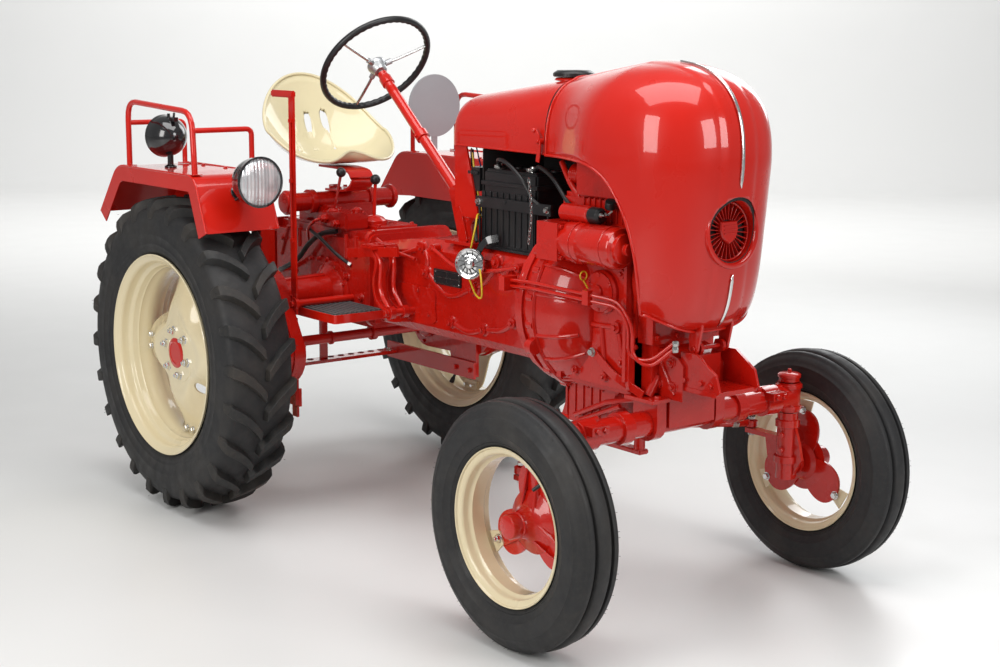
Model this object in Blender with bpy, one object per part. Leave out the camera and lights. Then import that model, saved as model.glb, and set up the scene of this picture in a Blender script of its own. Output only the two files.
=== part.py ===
"""Small vintage farm tractor, built as separate solids in metres.

The tractor faces -Y and +Z is up, so its right side is -X. Every place below is measured
from the ground under the middle of the rear axle. The "tractor" empty carries everything and
shifts it along Y, so the whole stands centred on the origin.
"""

import math

import bmesh
import bpy
from mathutils import Matrix, Vector

# ---- driving dimensions (metres, degrees) ----
GAP = 0.0003                    # clearance between pieces that touch
WHEELBASE = 1.694
REAR_TYRE_RADIUS = 0.516
REAR_TYRE_WIDTH = 0.235
REAR_TRACK_HALF = 0.593
REAR_RIM_RADIUS = 0.330
REAR_RIM_HALF_WIDTH = 0.112
REAR_DISC_OUT = 0.046           # hub face of the rear disc, outboard of the wheel's middle
FRONT_TYRE_RADIUS = 0.3275
FRONT_TYRE_WIDTH = 0.143
FRONT_TRACK_HALF = 0.5545
FRONT_RIM_RADIUS = 0.2078
FRONT_RIM_HALF_WIDTH = 0.0537
FRONT_HUB_IN = 0.048            # plate of the front hub, inboard of the wheel's middle
RIM_LIP = 0.020                 # height of a rim's flange above its bead seat
REAR_HUB_RADIUS = 0.050
AXLE_TUBE_Y = -0.190            # portal axle: the tube stands above and ahead of the wheel's centre
AXLE_TUBE_Z = 0.700
CASE_FRONT_Y = -0.270
CASE_FRONT_Z = 0.540
SHEET = 0.004                   # fenders and bonnet

HOUSING_TOP = 0.93              # clutch housing and gearbox
HOUSING_BOTTOM = 0.630
HOUSING_HALF_WIDTH = 0.150
GEARBOX_REAR = 0.20
GEARBOX_FRONT = -0.42
GEARBOX_BOTTOM = 0.60
CLUTCH_FRONT = -1.235
FLYWHEEL_RADIUS = 0.235
FLYWHEEL_HEIGHT = 0.80
FLYWHEEL_FRONT = -1.36
ENGINE_FRONT = -1.66
ENGINE_HALF_WIDTH = 0.150
ENGINE_BOTTOM = 0.60
ENGINE_TOP = 1.13
SUMP_BOTTOM = 0.474

SEAM = -1.300                   # joint between bonnet and tank cowl
SEAM_GAP = 0.006
COWL_REAR = -0.83
COWL_BOTTOM = 1.225
COWL_HALF_WIDTH_REAR = 0.135
COWL_TOP_REAR = 1.372
FILLER_Y = -1.235
FILLER_RADIUS = 0.046
FILLER_RISE = 0.009
SEAM_HALF_WIDTH = 0.160
SEAM_TOP = 1.436
NOSE_HALF_WIDTH = 0.240
NOSE_START = -1.600             # where the sides begin to curve in
NOSE_LENGTH = 0.293
NOSE_MIDDLE = 1.225             # height where the nose stands furthest forward
NOSE_TOP = 1.484
NOSE_BOTTOM = 0.786
NOSE_DROP = 0.452               # nose middle down to where its bottom edge would close
NOSE_TAPER_SIDE = 0.050         # half width lost for each metre below the nose's middle
NOSE_TAPER_FRONT = 0.080
ARCH_REAR = -1.470              # the engine opening's upper corner
ARCH_FRONT = -1.757
ARCH_FOOT = 0.838
NOSE_FOOT_WIDTH = 0.90          # share of the nose's width where its foot meets the arch
BONNET_HINGE_Y = -1.800
BONNET_HINGE_Z = 0.742
HINGE_PIN_RADIUS = 0.006
GRILLE_HEIGHT = 1.057
GRILLE_RADIUS = 0.098
GRILLE_Y = -1.868
GRILLE_LEAN = math.radians(-4.0)

KINGPIN_X = 0.441
KINGPIN_RADIUS = 0.014
AXLE_TUBE_RADIUS = 0.035
AXLE_HEIGHT = 0.530
SLEEVE_RADIUS = 0.034
SLEEVE_TOP = 0.572
SLEEVE_BOTTOM = 0.488
SPINDLE_RADIUS = 0.013
PIN_CLEARANCE = 0.004           # above and below the kingpin's sleeve
STEER_ARM = 0.140               # length of all three steering arms
STEER_ROD_HEIGHT = 0.420
DROP_ARM_Y = -1.540             # pivot of the middle arm
TIE_ROD_RADIUS = 0.010

FENDER_OUTER = 0.700
FENDER_INNER = 0.440
FENDER_TOP = 1.117
FENDER_FRONT_TOP = -0.262
FENDER_REAR_TOP = 0.271
FENDER_FRONT_LOW = (-0.333, 0.945)
FENDER_REAR_LOW = (0.408, 0.952)
FENDER_LIP = 0.050
FENDER_BEND = 0.045
FENDER_FLANGE = 0.020
SKIRT_BOTTOM = 0.957
BRACKET_INNER = 0.390
RAIL_RADIUS = 0.0095
RAIL_OUTER = 0.675
RAIL_INNER = 0.472
HEADLAMP = (0.560, -0.400, 1.104)

SEAT_CENTRE = (0.0, 0.060, 1.110)
SEAT_HALF_WIDTH = 0.235
SEAT_FRONT = 0.190
SEAT_REAR = 0.190
SEAT_BACK_HEIGHT = 0.290
SEAT_FLANK_HEIGHT = 0.095
SEAT_POMMEL_HEIGHT = 0.035
SEAT_NOTCH = 0.25               # how far the pommel's edge stands back, as a share
SEAT_DISH = 0.010
SEAT_THICKNESS = 0.005
SPRING_THICKNESS = 0.008
LIFT_HEIGHT = 0.985
LIFT_RADIUS = 0.032

COLUMN_TOP = (0.0, -0.240, 1.4462)
COLUMN_FOOT = (0.0, -0.870, 0.908)   # where the column's axis would meet the gear's middle
COLUMN_RADIUS = 0.017
WHEEL_RADIUS = 0.201
WHEEL_RIM_RADIUS = 0.0125

STEP_TOP = 0.680
STEP_FRONT = -0.510
STEP_REAR = -0.282
STEP_OUTER = 0.350
HANGER_IN = 0.363               # plates on the portal casings that carry the drawbar and the lift shaft
HANGER_FRONT = -0.310
HANGER_REAR = -0.160
SHAFT_RADIUS = 0.017
SHAFT_Y = -0.200
SHAFT_Z = 0.545
LINK_TOP = 0.640
LINK_BOTTOM = 0.310
DRAWBAR_Y = 0.195
DRAWBAR_HEIGHT = 0.385
DRAWBAR_THICKNESS = 0.012

SEGMENTS = 24
WHEEL_SEGMENTS = 32             # a multiple of four, so a wheel touches the ground
REAR_AXLE_Y = (WHEELBASE + FRONT_TYRE_RADIUS - REAR_TYRE_RADIUS) / 2
FRONT_AXLE_Y = -WHEELBASE

PAINT = {
    "red_paint": (0.62, 0.012, 0.010, 1.0, 0.0, 0.25),
    "cream_paint": (0.80, 0.72, 0.52, 1.0, 0.0, 0.30),
    "tyre_rubber": (0.022, 0.022, 0.022, 1.0, 0.0, 0.75),
    "black_paint": (0.012, 0.012, 0.012, 1.0, 0.0, 0.30),
    "step_rubber": (0.060, 0.060, 0.062, 1.0, 0.0, 0.80),
    "grey_paint": (0.35, 0.36, 0.37, 1.0, 0.0, 0.45),
    "black_plastic": (0.015, 0.015, 0.015, 1.0, 0.0, 0.45),
}


# ---- helpers ----
def clear_scene():
    for obj in list(bpy.data.objects):
        bpy.data.objects.remove(obj, do_unlink=True)


def material(name):
    """One Principled material for each name in PAINT."""
    found = bpy.data.materials.get(name)
    if found:
        return found
    red, green, blue, alpha, metallic, roughness = PAINT[name]
    made = bpy.data.materials.new(name)
    made.use_nodes = True
    shader = made.node_tree.nodes["Principled BSDF"]
    shader.inputs["Base Color"].default_value = (red, green, blue, alpha)
    shader.inputs["Metallic"].default_value = metallic
    shader.inputs["Roughness"].default_value = roughness
    made.diffuse_color = (red, green, blue, alpha)
    return made


def empty(name, place, parent=None):
    made = bpy.data.objects.new(name, None)
    made.empty_display_size = 0.05
    made.location = place
    made.parent = parent
    bpy.context.collection.objects.link(made)
    return made


def solid(name, mesh, paint, parent, place=(0, 0, 0), turn=(0, 0, 0)):
    """Turns a bmesh into a named object at a place under its parent."""
    if all(edge.is_manifold for edge in mesh.edges):
        bmesh.ops.recalc_face_normals(mesh, faces=mesh.faces)
    data = bpy.data.meshes.new(name)
    mesh.to_mesh(data)
    mesh.free()
    for polygon in data.polygons:
        polygon.use_smooth = True
    data.materials.append(material(paint))
    made = bpy.data.objects.new(name, data)
    made.location = place
    made.rotation_euler = turn
    made.parent = parent
    bpy.context.collection.objects.link(made)
    return made


def helper_mesh(name, mesh, parent, place=(0, 0, 0), turn=(0, 0, 0)):
    """A shape that a Boolean uses, hidden from the finished object."""
    made = solid(name, mesh, "grey_paint", parent, place, turn)
    made.hide_render = True
    made.display_type = "WIRE"
    return made


def boolean(target, other, operation):
    modifier = target.modifiers.new(operation.title(), "BOOLEAN")
    modifier.operation = operation
    modifier.solver = "EXACT"
    modifier.object = other


def unite(target, shapes):
    """Joins further bmeshes, given in the target's own frame, onto the target."""
    for index, shape in enumerate(shapes):
        other = helper_mesh(f"{target.name}_add{index}", shape, target)
        boolean(target, other, "UNION")


def cut(target, shapes):
    for index, shape in enumerate(shapes):
        other = helper_mesh(f"{target.name}_cut{index}", shape, target)
        boolean(target, other, "DIFFERENCE")


def skin(rings, closed_rings=True, caps=True):
    """A surface through rings of points, all of one length, with flat end caps."""
    mesh = bmesh.new()
    made = [[mesh.verts.new(point) for point in ring] for ring in rings]
    count = len(rings[0])
    across = count if closed_rings else count - 1
    for first, second in zip(made, made[1:]):
        for i in range(across):
            j = (i + 1) % count
            mesh.faces.new((first[i], first[j], second[j], second[i]))
    if caps:
        mesh.faces.new(made[0])
        mesh.faces.new(made[-1])
    return mesh


def lathe(profile, segments=SEGMENTS, axis="X"):
    """A closed profile of (radius, along) points, turned once round the axis."""
    mesh = bmesh.new()
    columns = []
    for radius, along in profile:
        if radius == 0:
            columns.append([mesh.verts.new((0, 0, along))] * segments)
            continue
        ring = []
        for step in range(segments):
            angle = math.tau * step / segments
            ring.append(mesh.verts.new((radius * math.cos(angle), radius * math.sin(angle), along)))
        columns.append(ring)
    for index, first in enumerate(columns):
        second = columns[(index + 1) % len(columns)]
        for i in range(segments):
            j = (i + 1) % segments
            corners = []
            for corner in (first[i], first[j], second[j], second[i]):
                if corner not in corners:
                    corners.append(corner)
            if len(corners) > 2:
                mesh.faces.new(corners)
    if axis == "X":
        mesh.transform(Matrix.Rotation(math.pi / 2, 4, "Y"))
    elif axis == "Y":
        mesh.transform(Matrix.Rotation(-math.pi / 2, 4, "X"))
    return mesh


def rod(start, end, radius, segments=16):
    """A round bar between two points."""
    start, end = Vector(start), Vector(end)
    length = (end - start).length
    mesh = lathe([(0, 0), (radius, 0), (radius, length), (0, length)], segments, "Z")
    turn = (end - start).to_track_quat("Z", "Y").to_matrix().to_4x4()
    mesh.transform(Matrix.Translation(start) @ turn)
    return mesh


def block(low, high, bevel=0.0):
    """A box between two corners, with its edges broken by the bevel."""
    low, high = Vector(low), Vector(high)
    mesh = bmesh.new()
    bmesh.ops.create_cube(mesh, size=1.0)
    size = Matrix.Diagonal((*(high - low), 1.0))
    mesh.transform(Matrix.Translation((low + high) / 2) @ size)
    if bevel:
        bmesh.ops.bevel(mesh, geom=list(mesh.edges), offset=bevel, segments=2, affect="EDGES")
    return mesh


def plate(outline, low, high, axis="X"):
    """An outline of two-value points, made thick from low to high along the axis."""
    order = {
        "X": lambda a, b, c: (c, a, b),
        "Y": lambda a, b, c: (a, c, b),
        "Z": lambda a, b, c: (a, b, c),
    }[axis]
    return skin([[order(a, b, c) for a, b in outline] for c in (low, high)])


def arc_points(centre, radius, start, stop, steps):
    """Points on a circle between two angles in degrees."""
    found = []
    for step in range(steps + 1):
        angle = math.radians(start + (stop - start) * step / steps)
        found.append((centre[0] + radius * math.cos(angle), centre[1] + radius * math.sin(angle)))
    return found


def rounded_path(points, radius, steps=5):
    """The points of a path with each inner corner rounded."""
    points = [Vector(point) for point in points]
    found = [points[0]]
    for before, corner, after in zip(points, points[1:], points[2:]):
        into = (before - corner).normalized()
        out = (after - corner).normalized()
        reach = min(radius, (before - corner).length * 0.45, (after - corner).length * 0.45)
        start, end = corner + into * reach, corner + out * reach
        for step in range(steps + 1):
            t = step / steps
            found.append(start * (1 - t) ** 2 + corner * 2 * t * (1 - t) + end * t ** 2)
    found.append(points[-1])
    return found


def sweep(path, outline, up=(0, 0, 1), scales=None):
    """An outline of (across, above) points carried along a path."""
    path = [Vector(point) for point in path]
    rings = []
    up = Vector(up)
    for index, point in enumerate(path):
        before = path[max(index - 1, 0)]
        after = path[min(index + 1, len(path) - 1)]
        along = (after - before).normalized()
        across = along.cross(up).normalized()
        above = across.cross(along).normalized()
        scale = scales[index] if scales else 1.0
        rings.append([point + (across * a + above * b) * scale for a, b in outline])
    return skin(rings)


def circle(radius, segments=12):
    return [
        (radius * math.cos(math.tau * i / segments), radius * math.sin(math.tau * i / segments))
        for i in range(segments)
    ]


def tube(points, radius, bend=0.03, segments=12, up=(0, 0, 1)):
    """A round tube along a path with rounded corners."""
    return sweep(rounded_path(points, bend), circle(radius, segments), up)


def smooth_step(t):
    t = min(max(t, 0.0), 1.0)
    return t * t * (3 - 2 * t)


def mix(a, b, t):
    return a + (b - a) * t


def power_arc(angle, power):
    """Cosine and sine of a superellipse of this power."""
    c, s = math.cos(angle), math.sin(angle)
    return (
        math.copysign(abs(c) ** (2 / power), c),
        math.copysign(abs(s) ** (2 / power), s),
    )


# ---- bodywork ----
def cowl_half_width(y):
    t = (COWL_REAR - y) / (COWL_REAR - SEAM)
    return mix(COWL_HALF_WIDTH_REAR, SEAM_HALF_WIDTH, smooth_step(t))


def cowl_top(y):
    t = (COWL_REAR - y) / (COWL_REAR - SEAM)
    return mix(COWL_TOP_REAR, SEAM_TOP, t)


def tank_cowl(parent):
    """The fuel tank, which is also the rear half of the bonnet's shape."""
    rings = []
    stations = 12
    round_over = 0.055
    for index in range(stations + 1):
        t = index / stations
        y = mix(COWL_REAR, SEAM + SEAM_GAP / 2, t)
        inset = min(max((COWL_REAR - y) / round_over, 0.0), 1.0)
        shrink = mix(0.90, 1.0, math.sqrt(1 - (1 - inset) ** 2))
        half = cowl_half_width(y) * shrink
        top = COWL_BOTTOM + (cowl_top(y) - COWL_BOTTOM) * shrink
        ring = []
        for step in range(17):
            c, s = power_arc(math.pi * step / 16, 2.9)
            ring.append((half * c, y, COWL_BOTTOM + (top - COWL_BOTTOM) * s))
        rings.append(ring)
    made = solid("tank_cowl", skin(rings), "red_paint", parent)
    neck = rod((0, FILLER_Y, COWL_BOTTOM + 0.05), (0, FILLER_Y, cowl_top(FILLER_Y) + FILLER_RISE),
               FILLER_RADIUS, 24)
    unite(made, [neck])
    return made


def fuel_cap(parent):
    profile = [(0, 0), (0.058, 0), (0.058, 0.012), (0.050, 0.018), (0, 0.018)]
    place = (0, FILLER_Y, cowl_top(FILLER_Y) + FILLER_RISE + GAP)
    return solid("fuel_cap", lathe(profile, 32, "Z"), "black_plastic", parent, place)


def arch_height(y, across):
    """Lower edge of the bonnet: the tank's line, the engine opening's arch, then the nose's foot."""
    if y >= ARCH_REAR:
        return COWL_BOTTOM
    t = (ARCH_REAR - y) / (ARCH_REAR - ARCH_FRONT)
    if t >= 1:
        return mix(NOSE_BOTTOM, ARCH_FOOT, min(across / NOSE_FOOT_WIDTH, 1) ** 3)
    return mix(ARCH_FOOT, COWL_BOTTOM, math.sqrt(1 - t ** 3))


def bonnet_column(t, low, top):
    """A point t of the way up a column: its height, and its share of the full half width."""
    below = (NOSE_MIDDLE - low) / NOSE_DROP
    share = below / (below + 1.0)
    if t < share:
        height = mix(low, NOSE_MIDDLE, t / share)
        return height, (1 - ((NOSE_MIDDLE - height) / NOSE_DROP) ** 7) ** (1 / 7)
    narrowing, rise = power_arc((t - share) / (1 - share) * math.pi / 2, 2.7)
    return NOSE_MIDDLE + (top - NOSE_MIDDLE) * rise, narrowing


def bonnet_surface(columns_side=5, columns_nose=18, rows=12):
    """Columns of points from the lower edge up to the ridge, right round the nose."""
    start = SEAM - SEAM_GAP / 2
    side = [mix(start, NOSE_START, i / columns_side) for i in range(columns_side)]
    plan = [(y, -1, 0.0) for y in side]
    for i in range(columns_nose + 1):
        across, ahead = power_arc(math.pi * i / columns_nose, 2.7)
        plan.append((NOSE_START, -across, ahead))
    plan += [(y, 1, 0.0) for y in reversed(side)]
    columns = []
    for y, across, ahead in plan:
        t = (start - y) / (start - NOSE_START)
        widest = mix(SEAM_HALF_WIDTH, NOSE_HALF_WIDTH, smooth_step(t))
        top = mix(SEAM_TOP, NOSE_TOP, t)
        low = arch_height(y - NOSE_LENGTH * ahead, abs(across))
        column = []
        for row in range(rows + 1):
            z, ratio = bonnet_column(row / rows, low, top)
            drop = max(NOSE_MIDDLE - z, 0)
            half = (widest - NOSE_TAPER_SIDE * drop) * ratio
            reach = (NOSE_LENGTH - NOSE_TAPER_FRONT * drop) * ratio
            column.append((half * across, y - reach * ahead, z))
        columns.append(column)
    return columns


def bonnet(parent):
    columns = list(reversed(bonnet_surface()))
    mesh = skin(columns, closed_rings=False, caps=False)
    bmesh.ops.remove_doubles(mesh, verts=mesh.verts, dist=0.0004)
    origin = Vector((0, BONNET_HINGE_Y, BONNET_HINGE_Z))
    mesh.transform(Matrix.Translation(-origin))
    made = solid("bonnet", mesh, "red_paint", parent)
    shell = made.modifiers.new("Sheet", "SOLIDIFY")
    shell.thickness = SHEET
    shell.offset = -1.0
    shell.use_even_offset = False
    hole = GRILLE_RADIUS + GAP
    opening = lathe([(0, -0.06), (hole, -0.06), (hole, 0.06), (0, 0.06)], SEGMENTS, "Y")
    opening.transform(Matrix.Rotation(GRILLE_LEAN, 4, "X"))
    opening.transform(Matrix.Translation(Vector((0, GRILLE_Y, GRILLE_HEIGHT)) - origin))
    cut(made, [opening])
    lugs = []
    for side in (-1, 1):
        outline = arc_points((0, 0), 0.016, 180, 360, 8)
        outline += [(0.018, 0.03), (-0.005, 0.090), (-0.060, 0.105), (-0.052, 0.070)]
        low, high = sorted((side * 0.052, side * 0.060))
        lugs.append(plate(outline, low, high, "X"))
    unite(made, lugs)
    cut(made, [rod((-0.08, 0, 0), (0.08, 0, 0), HINGE_PIN_RADIUS + 0.0005, 16)])
    return made


def grille(parent):
    """Round plate in its bezel, let into the nose."""
    outer, inner, depth = GRILLE_RADIUS, 0.080, 0.020
    profile = [(0, 0.008), (inner, 0.008), (inner, -0.004), (inner + 0.008, -0.008)]
    profile += [(outer, -0.004), (outer, depth), (0, depth)]
    place = (0, GRILLE_Y - BONNET_HINGE_Y, GRILLE_HEIGHT - BONNET_HINGE_Z)
    mesh = lathe(profile, SEGMENTS, "Y")
    return solid("grille", mesh, "red_paint", parent, place, (GRILLE_LEAN, 0, 0))


# ---- chassis ----
def gearbox(parent):
    half = HOUSING_HALF_WIDTH
    low = (-half, GEARBOX_FRONT, GEARBOX_BOTTOM)
    high = (half, GEARBOX_REAR, HOUSING_TOP - 0.02)
    return solid("gearbox_housing", block(low, high, 0.025), "red_paint", parent)


def clutch_housing(parent):
    """Tapered casting between gearbox and flywheel housing."""
    half = HOUSING_HALF_WIDTH
    outline = [
        (GEARBOX_FRONT - GAP, HOUSING_BOTTOM),
        (GEARBOX_FRONT - GAP, HOUSING_TOP - 0.04),
        (-0.55, HOUSING_TOP - 0.02),
        (-0.72, HOUSING_TOP),
        (CLUTCH_FRONT + GAP, HOUSING_TOP),
        (CLUTCH_FRONT + GAP, HOUSING_BOTTOM),
    ]
    middle = (HOUSING_TOP + HOUSING_BOTTOM) / 2
    rings = []
    for share, inward in ((-1, 0.03), (-0.8, 0), (0.8, 0), (1, 0.03)):
        rings.append([(half * share, y, z - math.copysign(inward, z - middle)) for y, z in outline])
    return solid("clutch_housing", skin(rings), "red_paint", parent)


def flywheel_housing(parent):
    length = CLUTCH_FRONT - FLYWHEEL_FRONT - GAP
    radius = FLYWHEEL_RADIUS
    profile = [(0, 0), (radius - 0.02, 0), (radius, 0.02), (radius, length - 0.03)]
    profile += [(radius - 0.045, length), (0, length)]
    place = (0, FLYWHEEL_FRONT + GAP / 2, FLYWHEEL_HEIGHT)
    return solid("flywheel_housing", lathe(profile, SEGMENTS, "Y"), "red_paint", parent, place)


def engine(parent):
    half = ENGINE_HALF_WIDTH
    low = (-half, ENGINE_FRONT, ENGINE_BOTTOM)
    high = (half, FLYWHEEL_FRONT - GAP, ENGINE_TOP)
    return solid("engine_block", block(low, high, 0.012), "red_paint", parent)


def sump(parent):
    outline = [(-1.50, SUMP_BOTTOM), (-1.32, SUMP_BOTTOM), (-1.372, ENGINE_BOTTOM - GAP)]
    outline += [(-1.56, ENGINE_BOTTOM - GAP)]
    mesh = plate(outline, -0.105, 0.105, "X")
    return solid("engine_sump", mesh, "red_paint", parent)


def final_drive(side, name, parent):
    """Axle tube high on the gearbox, and the portal casing down and back to the wheel's hub."""
    inner = HOUSING_HALF_WIDTH + GAP
    hub = REAR_TRACK_HALF + REAR_DISC_OUT + 0.004
    case_in, case_out = 0.375, 0.452
    profile = [(0, inner), (0.090, inner), (0.090, inner + 0.02), (0.066, inner + 0.04), (0.062, 0.36),
               (0.080, case_in), (0.080, case_in + 0.01), (0, case_in + 0.01)]
    axle_tube = recalculated(lathe([(r, side * x) for r, x in profile], 24, "X"))
    axle_tube.transform(Matrix.Translation((0, AXLE_TUBE_Y, AXLE_TUBE_Z - REAR_TYRE_RADIUS)))
    outline = arc_points((CASE_FRONT_Y, CASE_FRONT_Z - REAR_TYRE_RADIUS), 0.108, 170, 270, 8)
    outline += arc_points((0, 0), 0.092, -90, 60, 8)
    outline += arc_points((AXLE_TUBE_Y, AXLE_TUBE_Z - REAR_TYRE_RADIUS), 0.095, 40, 165, 8)
    made = solid(name, plate(outline, *sorted((side * case_in, side * case_out)), "X"), "red_paint", parent,
                 (0, 0, REAR_TYRE_RADIUS))
    shaft = [(0, case_out - 0.01), (0.075, case_out - 0.01), (0.075, case_out + 0.008),
             (REAR_HUB_RADIUS, case_out + 0.020), (REAR_HUB_RADIUS, hub), (0, hub)]
    low, high = sorted((side * HANGER_IN, side * (case_in + 0.001)))
    hanger = block((low, HANGER_FRONT, DRAWBAR_HEIGHT - REAR_TYRE_RADIUS - 0.025),
                   (high, HANGER_REAR, CASE_FRONT_Z - REAR_TYRE_RADIUS + 0.035))
    unite(made, [axle_tube, recalculated(lathe([(r, side * x) for r, x in shaft], 24, "X")), hanger])
    return made


def front_pedestal(parent):
    """Casting under the engine's nose that carries the axle's pivot and the bonnet hinge."""
    top, bottom = 0.745, 0.600
    front = -1.790
    slot = AXLE_TUBE_RADIUS + GAP
    ear = 0.014
    outline = [
        (ENGINE_FRONT - GAP, bottom),
        (ENGINE_FRONT - GAP, top),
        (front + 0.02, top - 0.03),
        (front, top - 0.05),
        (front, bottom),
        (FRONT_AXLE_Y - slot - ear, bottom),
        (FRONT_AXLE_Y - slot - ear, AXLE_HEIGHT - 0.01),
        (FRONT_AXLE_Y - slot, AXLE_HEIGHT - 0.01),
        (FRONT_AXLE_Y - slot, bottom - 0.02),
        (FRONT_AXLE_Y + slot, bottom - 0.02),
        (FRONT_AXLE_Y + slot, AXLE_HEIGHT - 0.01),
        (FRONT_AXLE_Y + slot + ear, AXLE_HEIGHT - 0.01),
        (FRONT_AXLE_Y + slot + ear, bottom),
    ]
    made = solid("front_pedestal", plate(outline, -0.085, 0.085, "X"), "red_paint", parent)
    lugs = []
    for side in (-1, 1):
        edges = sorted((side * 0.036, side * 0.046))
        lug = arc_points((BONNET_HINGE_Y, BONNET_HINGE_Z), 0.018, 90, 270, 8)
        lug += [(-1.775, 0.66), (-1.765, 0.700), (-1.785, 0.757)]
        lugs.append(plate(lug, *edges, "X"))
    pin = rod((-0.064, BONNET_HINGE_Y, BONNET_HINGE_Z), (0.064, BONNET_HINGE_Y, BONNET_HINGE_Z),
              HINGE_PIN_RADIUS, 16)
    unite(made, lugs + [pin])
    return made


def front_axle(parent):
    """Tube from kingpin to kingpin, with a bored sleeve at each end."""
    reach = KINGPIN_X
    made = solid("front_axle", rod((-reach, 0, 0), (reach, 0, 0), AXLE_TUBE_RADIUS, 24), "red_paint",
                 parent, (0, FRONT_AXLE_Y, AXLE_HEIGHT))
    sleeves = []
    bores = []
    for side in (-1, 1):
        foot = (side * reach, 0, SLEEVE_BOTTOM - AXLE_HEIGHT)
        head = (side * reach, 0, SLEEVE_TOP - AXLE_HEIGHT)
        sleeves.append(rod(foot, head, SLEEVE_RADIUS, 24))
        bores.append(rod((foot[0], 0, foot[2] - 0.05), (foot[0], 0, head[2] + 0.05),
                         KINGPIN_RADIUS + 0.0006, 24))
    unite(made, sleeves)
    cut(made, bores)
    return made


def knuckle(side, name, parent):
    """Kingpin, stub axle and rearward steering arm, with the origin on the kingpin."""
    wheel = FRONT_TYRE_RADIUS
    collar = SLEEVE_BOTTOM - PIN_CLEARANCE
    head = SLEEVE_TOP + PIN_CLEARANCE
    post = [(0, wheel - 0.040), (0.030, wheel - 0.040), (0.030, collar), (KINGPIN_RADIUS, collar),
            (KINGPIN_RADIUS, head), (0.030, head), (0.030, head + 0.010), (0, head + 0.010)]
    made = solid(name, lathe(post, 24, "Z"), "red_paint", parent)
    hub = FRONT_TRACK_HALF - FRONT_HUB_IN - KINGPIN_X - 0.016
    stub_end = FRONT_TRACK_HALF - KINGPIN_X + 0.026
    stub = [(0, 0.003), (0.027, 0.003), (0.027, hub), (SPINDLE_RADIUS, hub + 0.003),
            (SPINDLE_RADIUS, stub_end), (0, stub_end)]
    stub_mesh = recalculated(lathe([(r, side * x) for r, x in stub], 20, "X"))
    stub_mesh.transform(Matrix.Translation((0, 0, wheel)))
    arm_low = STEER_ROD_HEIGHT - 0.024
    arm = block((-0.015, 0.004, arm_low), (0.015, STEER_ARM + 0.012, arm_low + 0.014))
    pin = rod((0, STEER_ARM, arm_low + 0.007), (0, STEER_ARM, STEER_ROD_HEIGHT + 0.016), 0.006, 12)
    unite(made, [stub_mesh, arm, pin])
    return made


def drop_arm(parent):
    """Middle steering arm: a stub shaft down from the steering gear and a rearward arm."""
    made = solid("steering_arm", rod((0, 0, STEER_ROD_HEIGHT - 0.024), (0, 0, 0.470), 0.016, 20),
                 "red_paint", parent)
    shapes = [
        block((-0.018, -0.02, STEER_ROD_HEIGHT - 0.024),
              (0.018, STEER_ARM + 0.014, STEER_ROD_HEIGHT - 0.010), 0.003),
        rod((0, STEER_ARM, STEER_ROD_HEIGHT - 0.012), (0, STEER_ARM, STEER_ROD_HEIGHT + 0.040), 0.006, 12),
    ]
    unite(made, shapes)
    return made


def tie_rod(side, name, level, parent):
    """Rod from the middle arm's pin to a knuckle's pin, as an eye at each end of a bar."""
    span = Vector((side * KINGPIN_X, FRONT_AXLE_Y - DROP_ARM_Y, -level))
    direction = span.normalized()
    made = solid(name, rod(direction * 0.010, span - direction * 0.010, TIE_ROD_RADIUS, 12),
                 "red_paint", parent)
    eyes = []
    bores = []
    for centre in (Vector((0, 0, 0)), span):
        low, high = centre - Vector((0, 0, 0.0085)), centre + Vector((0, 0, 0.0085))
        eyes.append(rod(low, high, 0.018, 20))
        bores.append(rod(low - Vector((0, 0, 0.05)), high + Vector((0, 0, 0.05)), 0.0068, 16))
    unite(made, eyes)
    cut(made, bores)
    return made


def steering_column(parent):
    """Outer tube with the gear casing at its foot."""
    top, foot = Vector(COLUMN_TOP), Vector(COLUMN_FOOT)
    axis = (top - foot).normalized()
    made = solid("steering_column", rod(foot + axis * 0.07, top - axis * 0.0385, COLUMN_RADIUS, 16),
                 "red_paint", parent)
    gear = block((-0.055, foot.y - 0.075, HOUSING_TOP + GAP), (0.055, foot.y + 0.075, HOUSING_TOP + 0.070),
                 0.010)
    neck = rod(foot + axis * 0.085, foot + axis * 0.14, 0.028, 16)
    unite(made, [gear, neck])
    return made


def steering_gear(parent):
    """Casing under the engine's front that turns the middle arm."""
    low = (-0.05, DROP_ARM_Y - 0.05, 0.4705)
    mesh = block(low, (0.05, -1.565, ENGINE_BOTTOM - GAP), 0.004)
    return solid("steering_gear", mesh, "red_paint", parent)


def steering_wheel(parent):
    """Rim, three spokes and hub; the local Z axis is the column's axis."""
    rings = []
    count = WHEEL_SEGMENTS
    for i in range(count):
        angle = math.tau * i / count
        ring = []
        for a, b in circle(WHEEL_RIM_RADIUS, 6):
            radius = WHEEL_RADIUS - WHEEL_RIM_RADIUS + a
            ring.append((radius * math.cos(angle), radius * math.sin(angle), b))
        rings.append(ring)
    rings.append(rings[0])
    mesh = skin(rings, caps=False)
    bmesh.ops.remove_doubles(mesh, verts=mesh.verts, dist=0.0001)
    axis = Vector(COLUMN_TOP) - Vector(COLUMN_FOOT)
    made = solid("steering_wheel", mesh, "black_plastic", parent)
    parent.rotation_euler = axis.to_track_quat("Z", "Y").to_euler()
    hub = lathe([(0, -0.038), (0.020, -0.038), (0.030, -0.012), (0.030, -0.002), (0.018, 0.008),
                 (0, 0.008)], 24, "Z")
    shapes = [hub]
    for i in range(3):
        angle = math.radians(90 + 120 * i)
        end = WHEEL_RADIUS - WHEEL_RIM_RADIUS
        shapes.append(rod((0, 0, -0.010), (end * math.cos(angle), end * math.sin(angle), 0), 0.0055, 10))
    unite(made, shapes)
    return made


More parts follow.
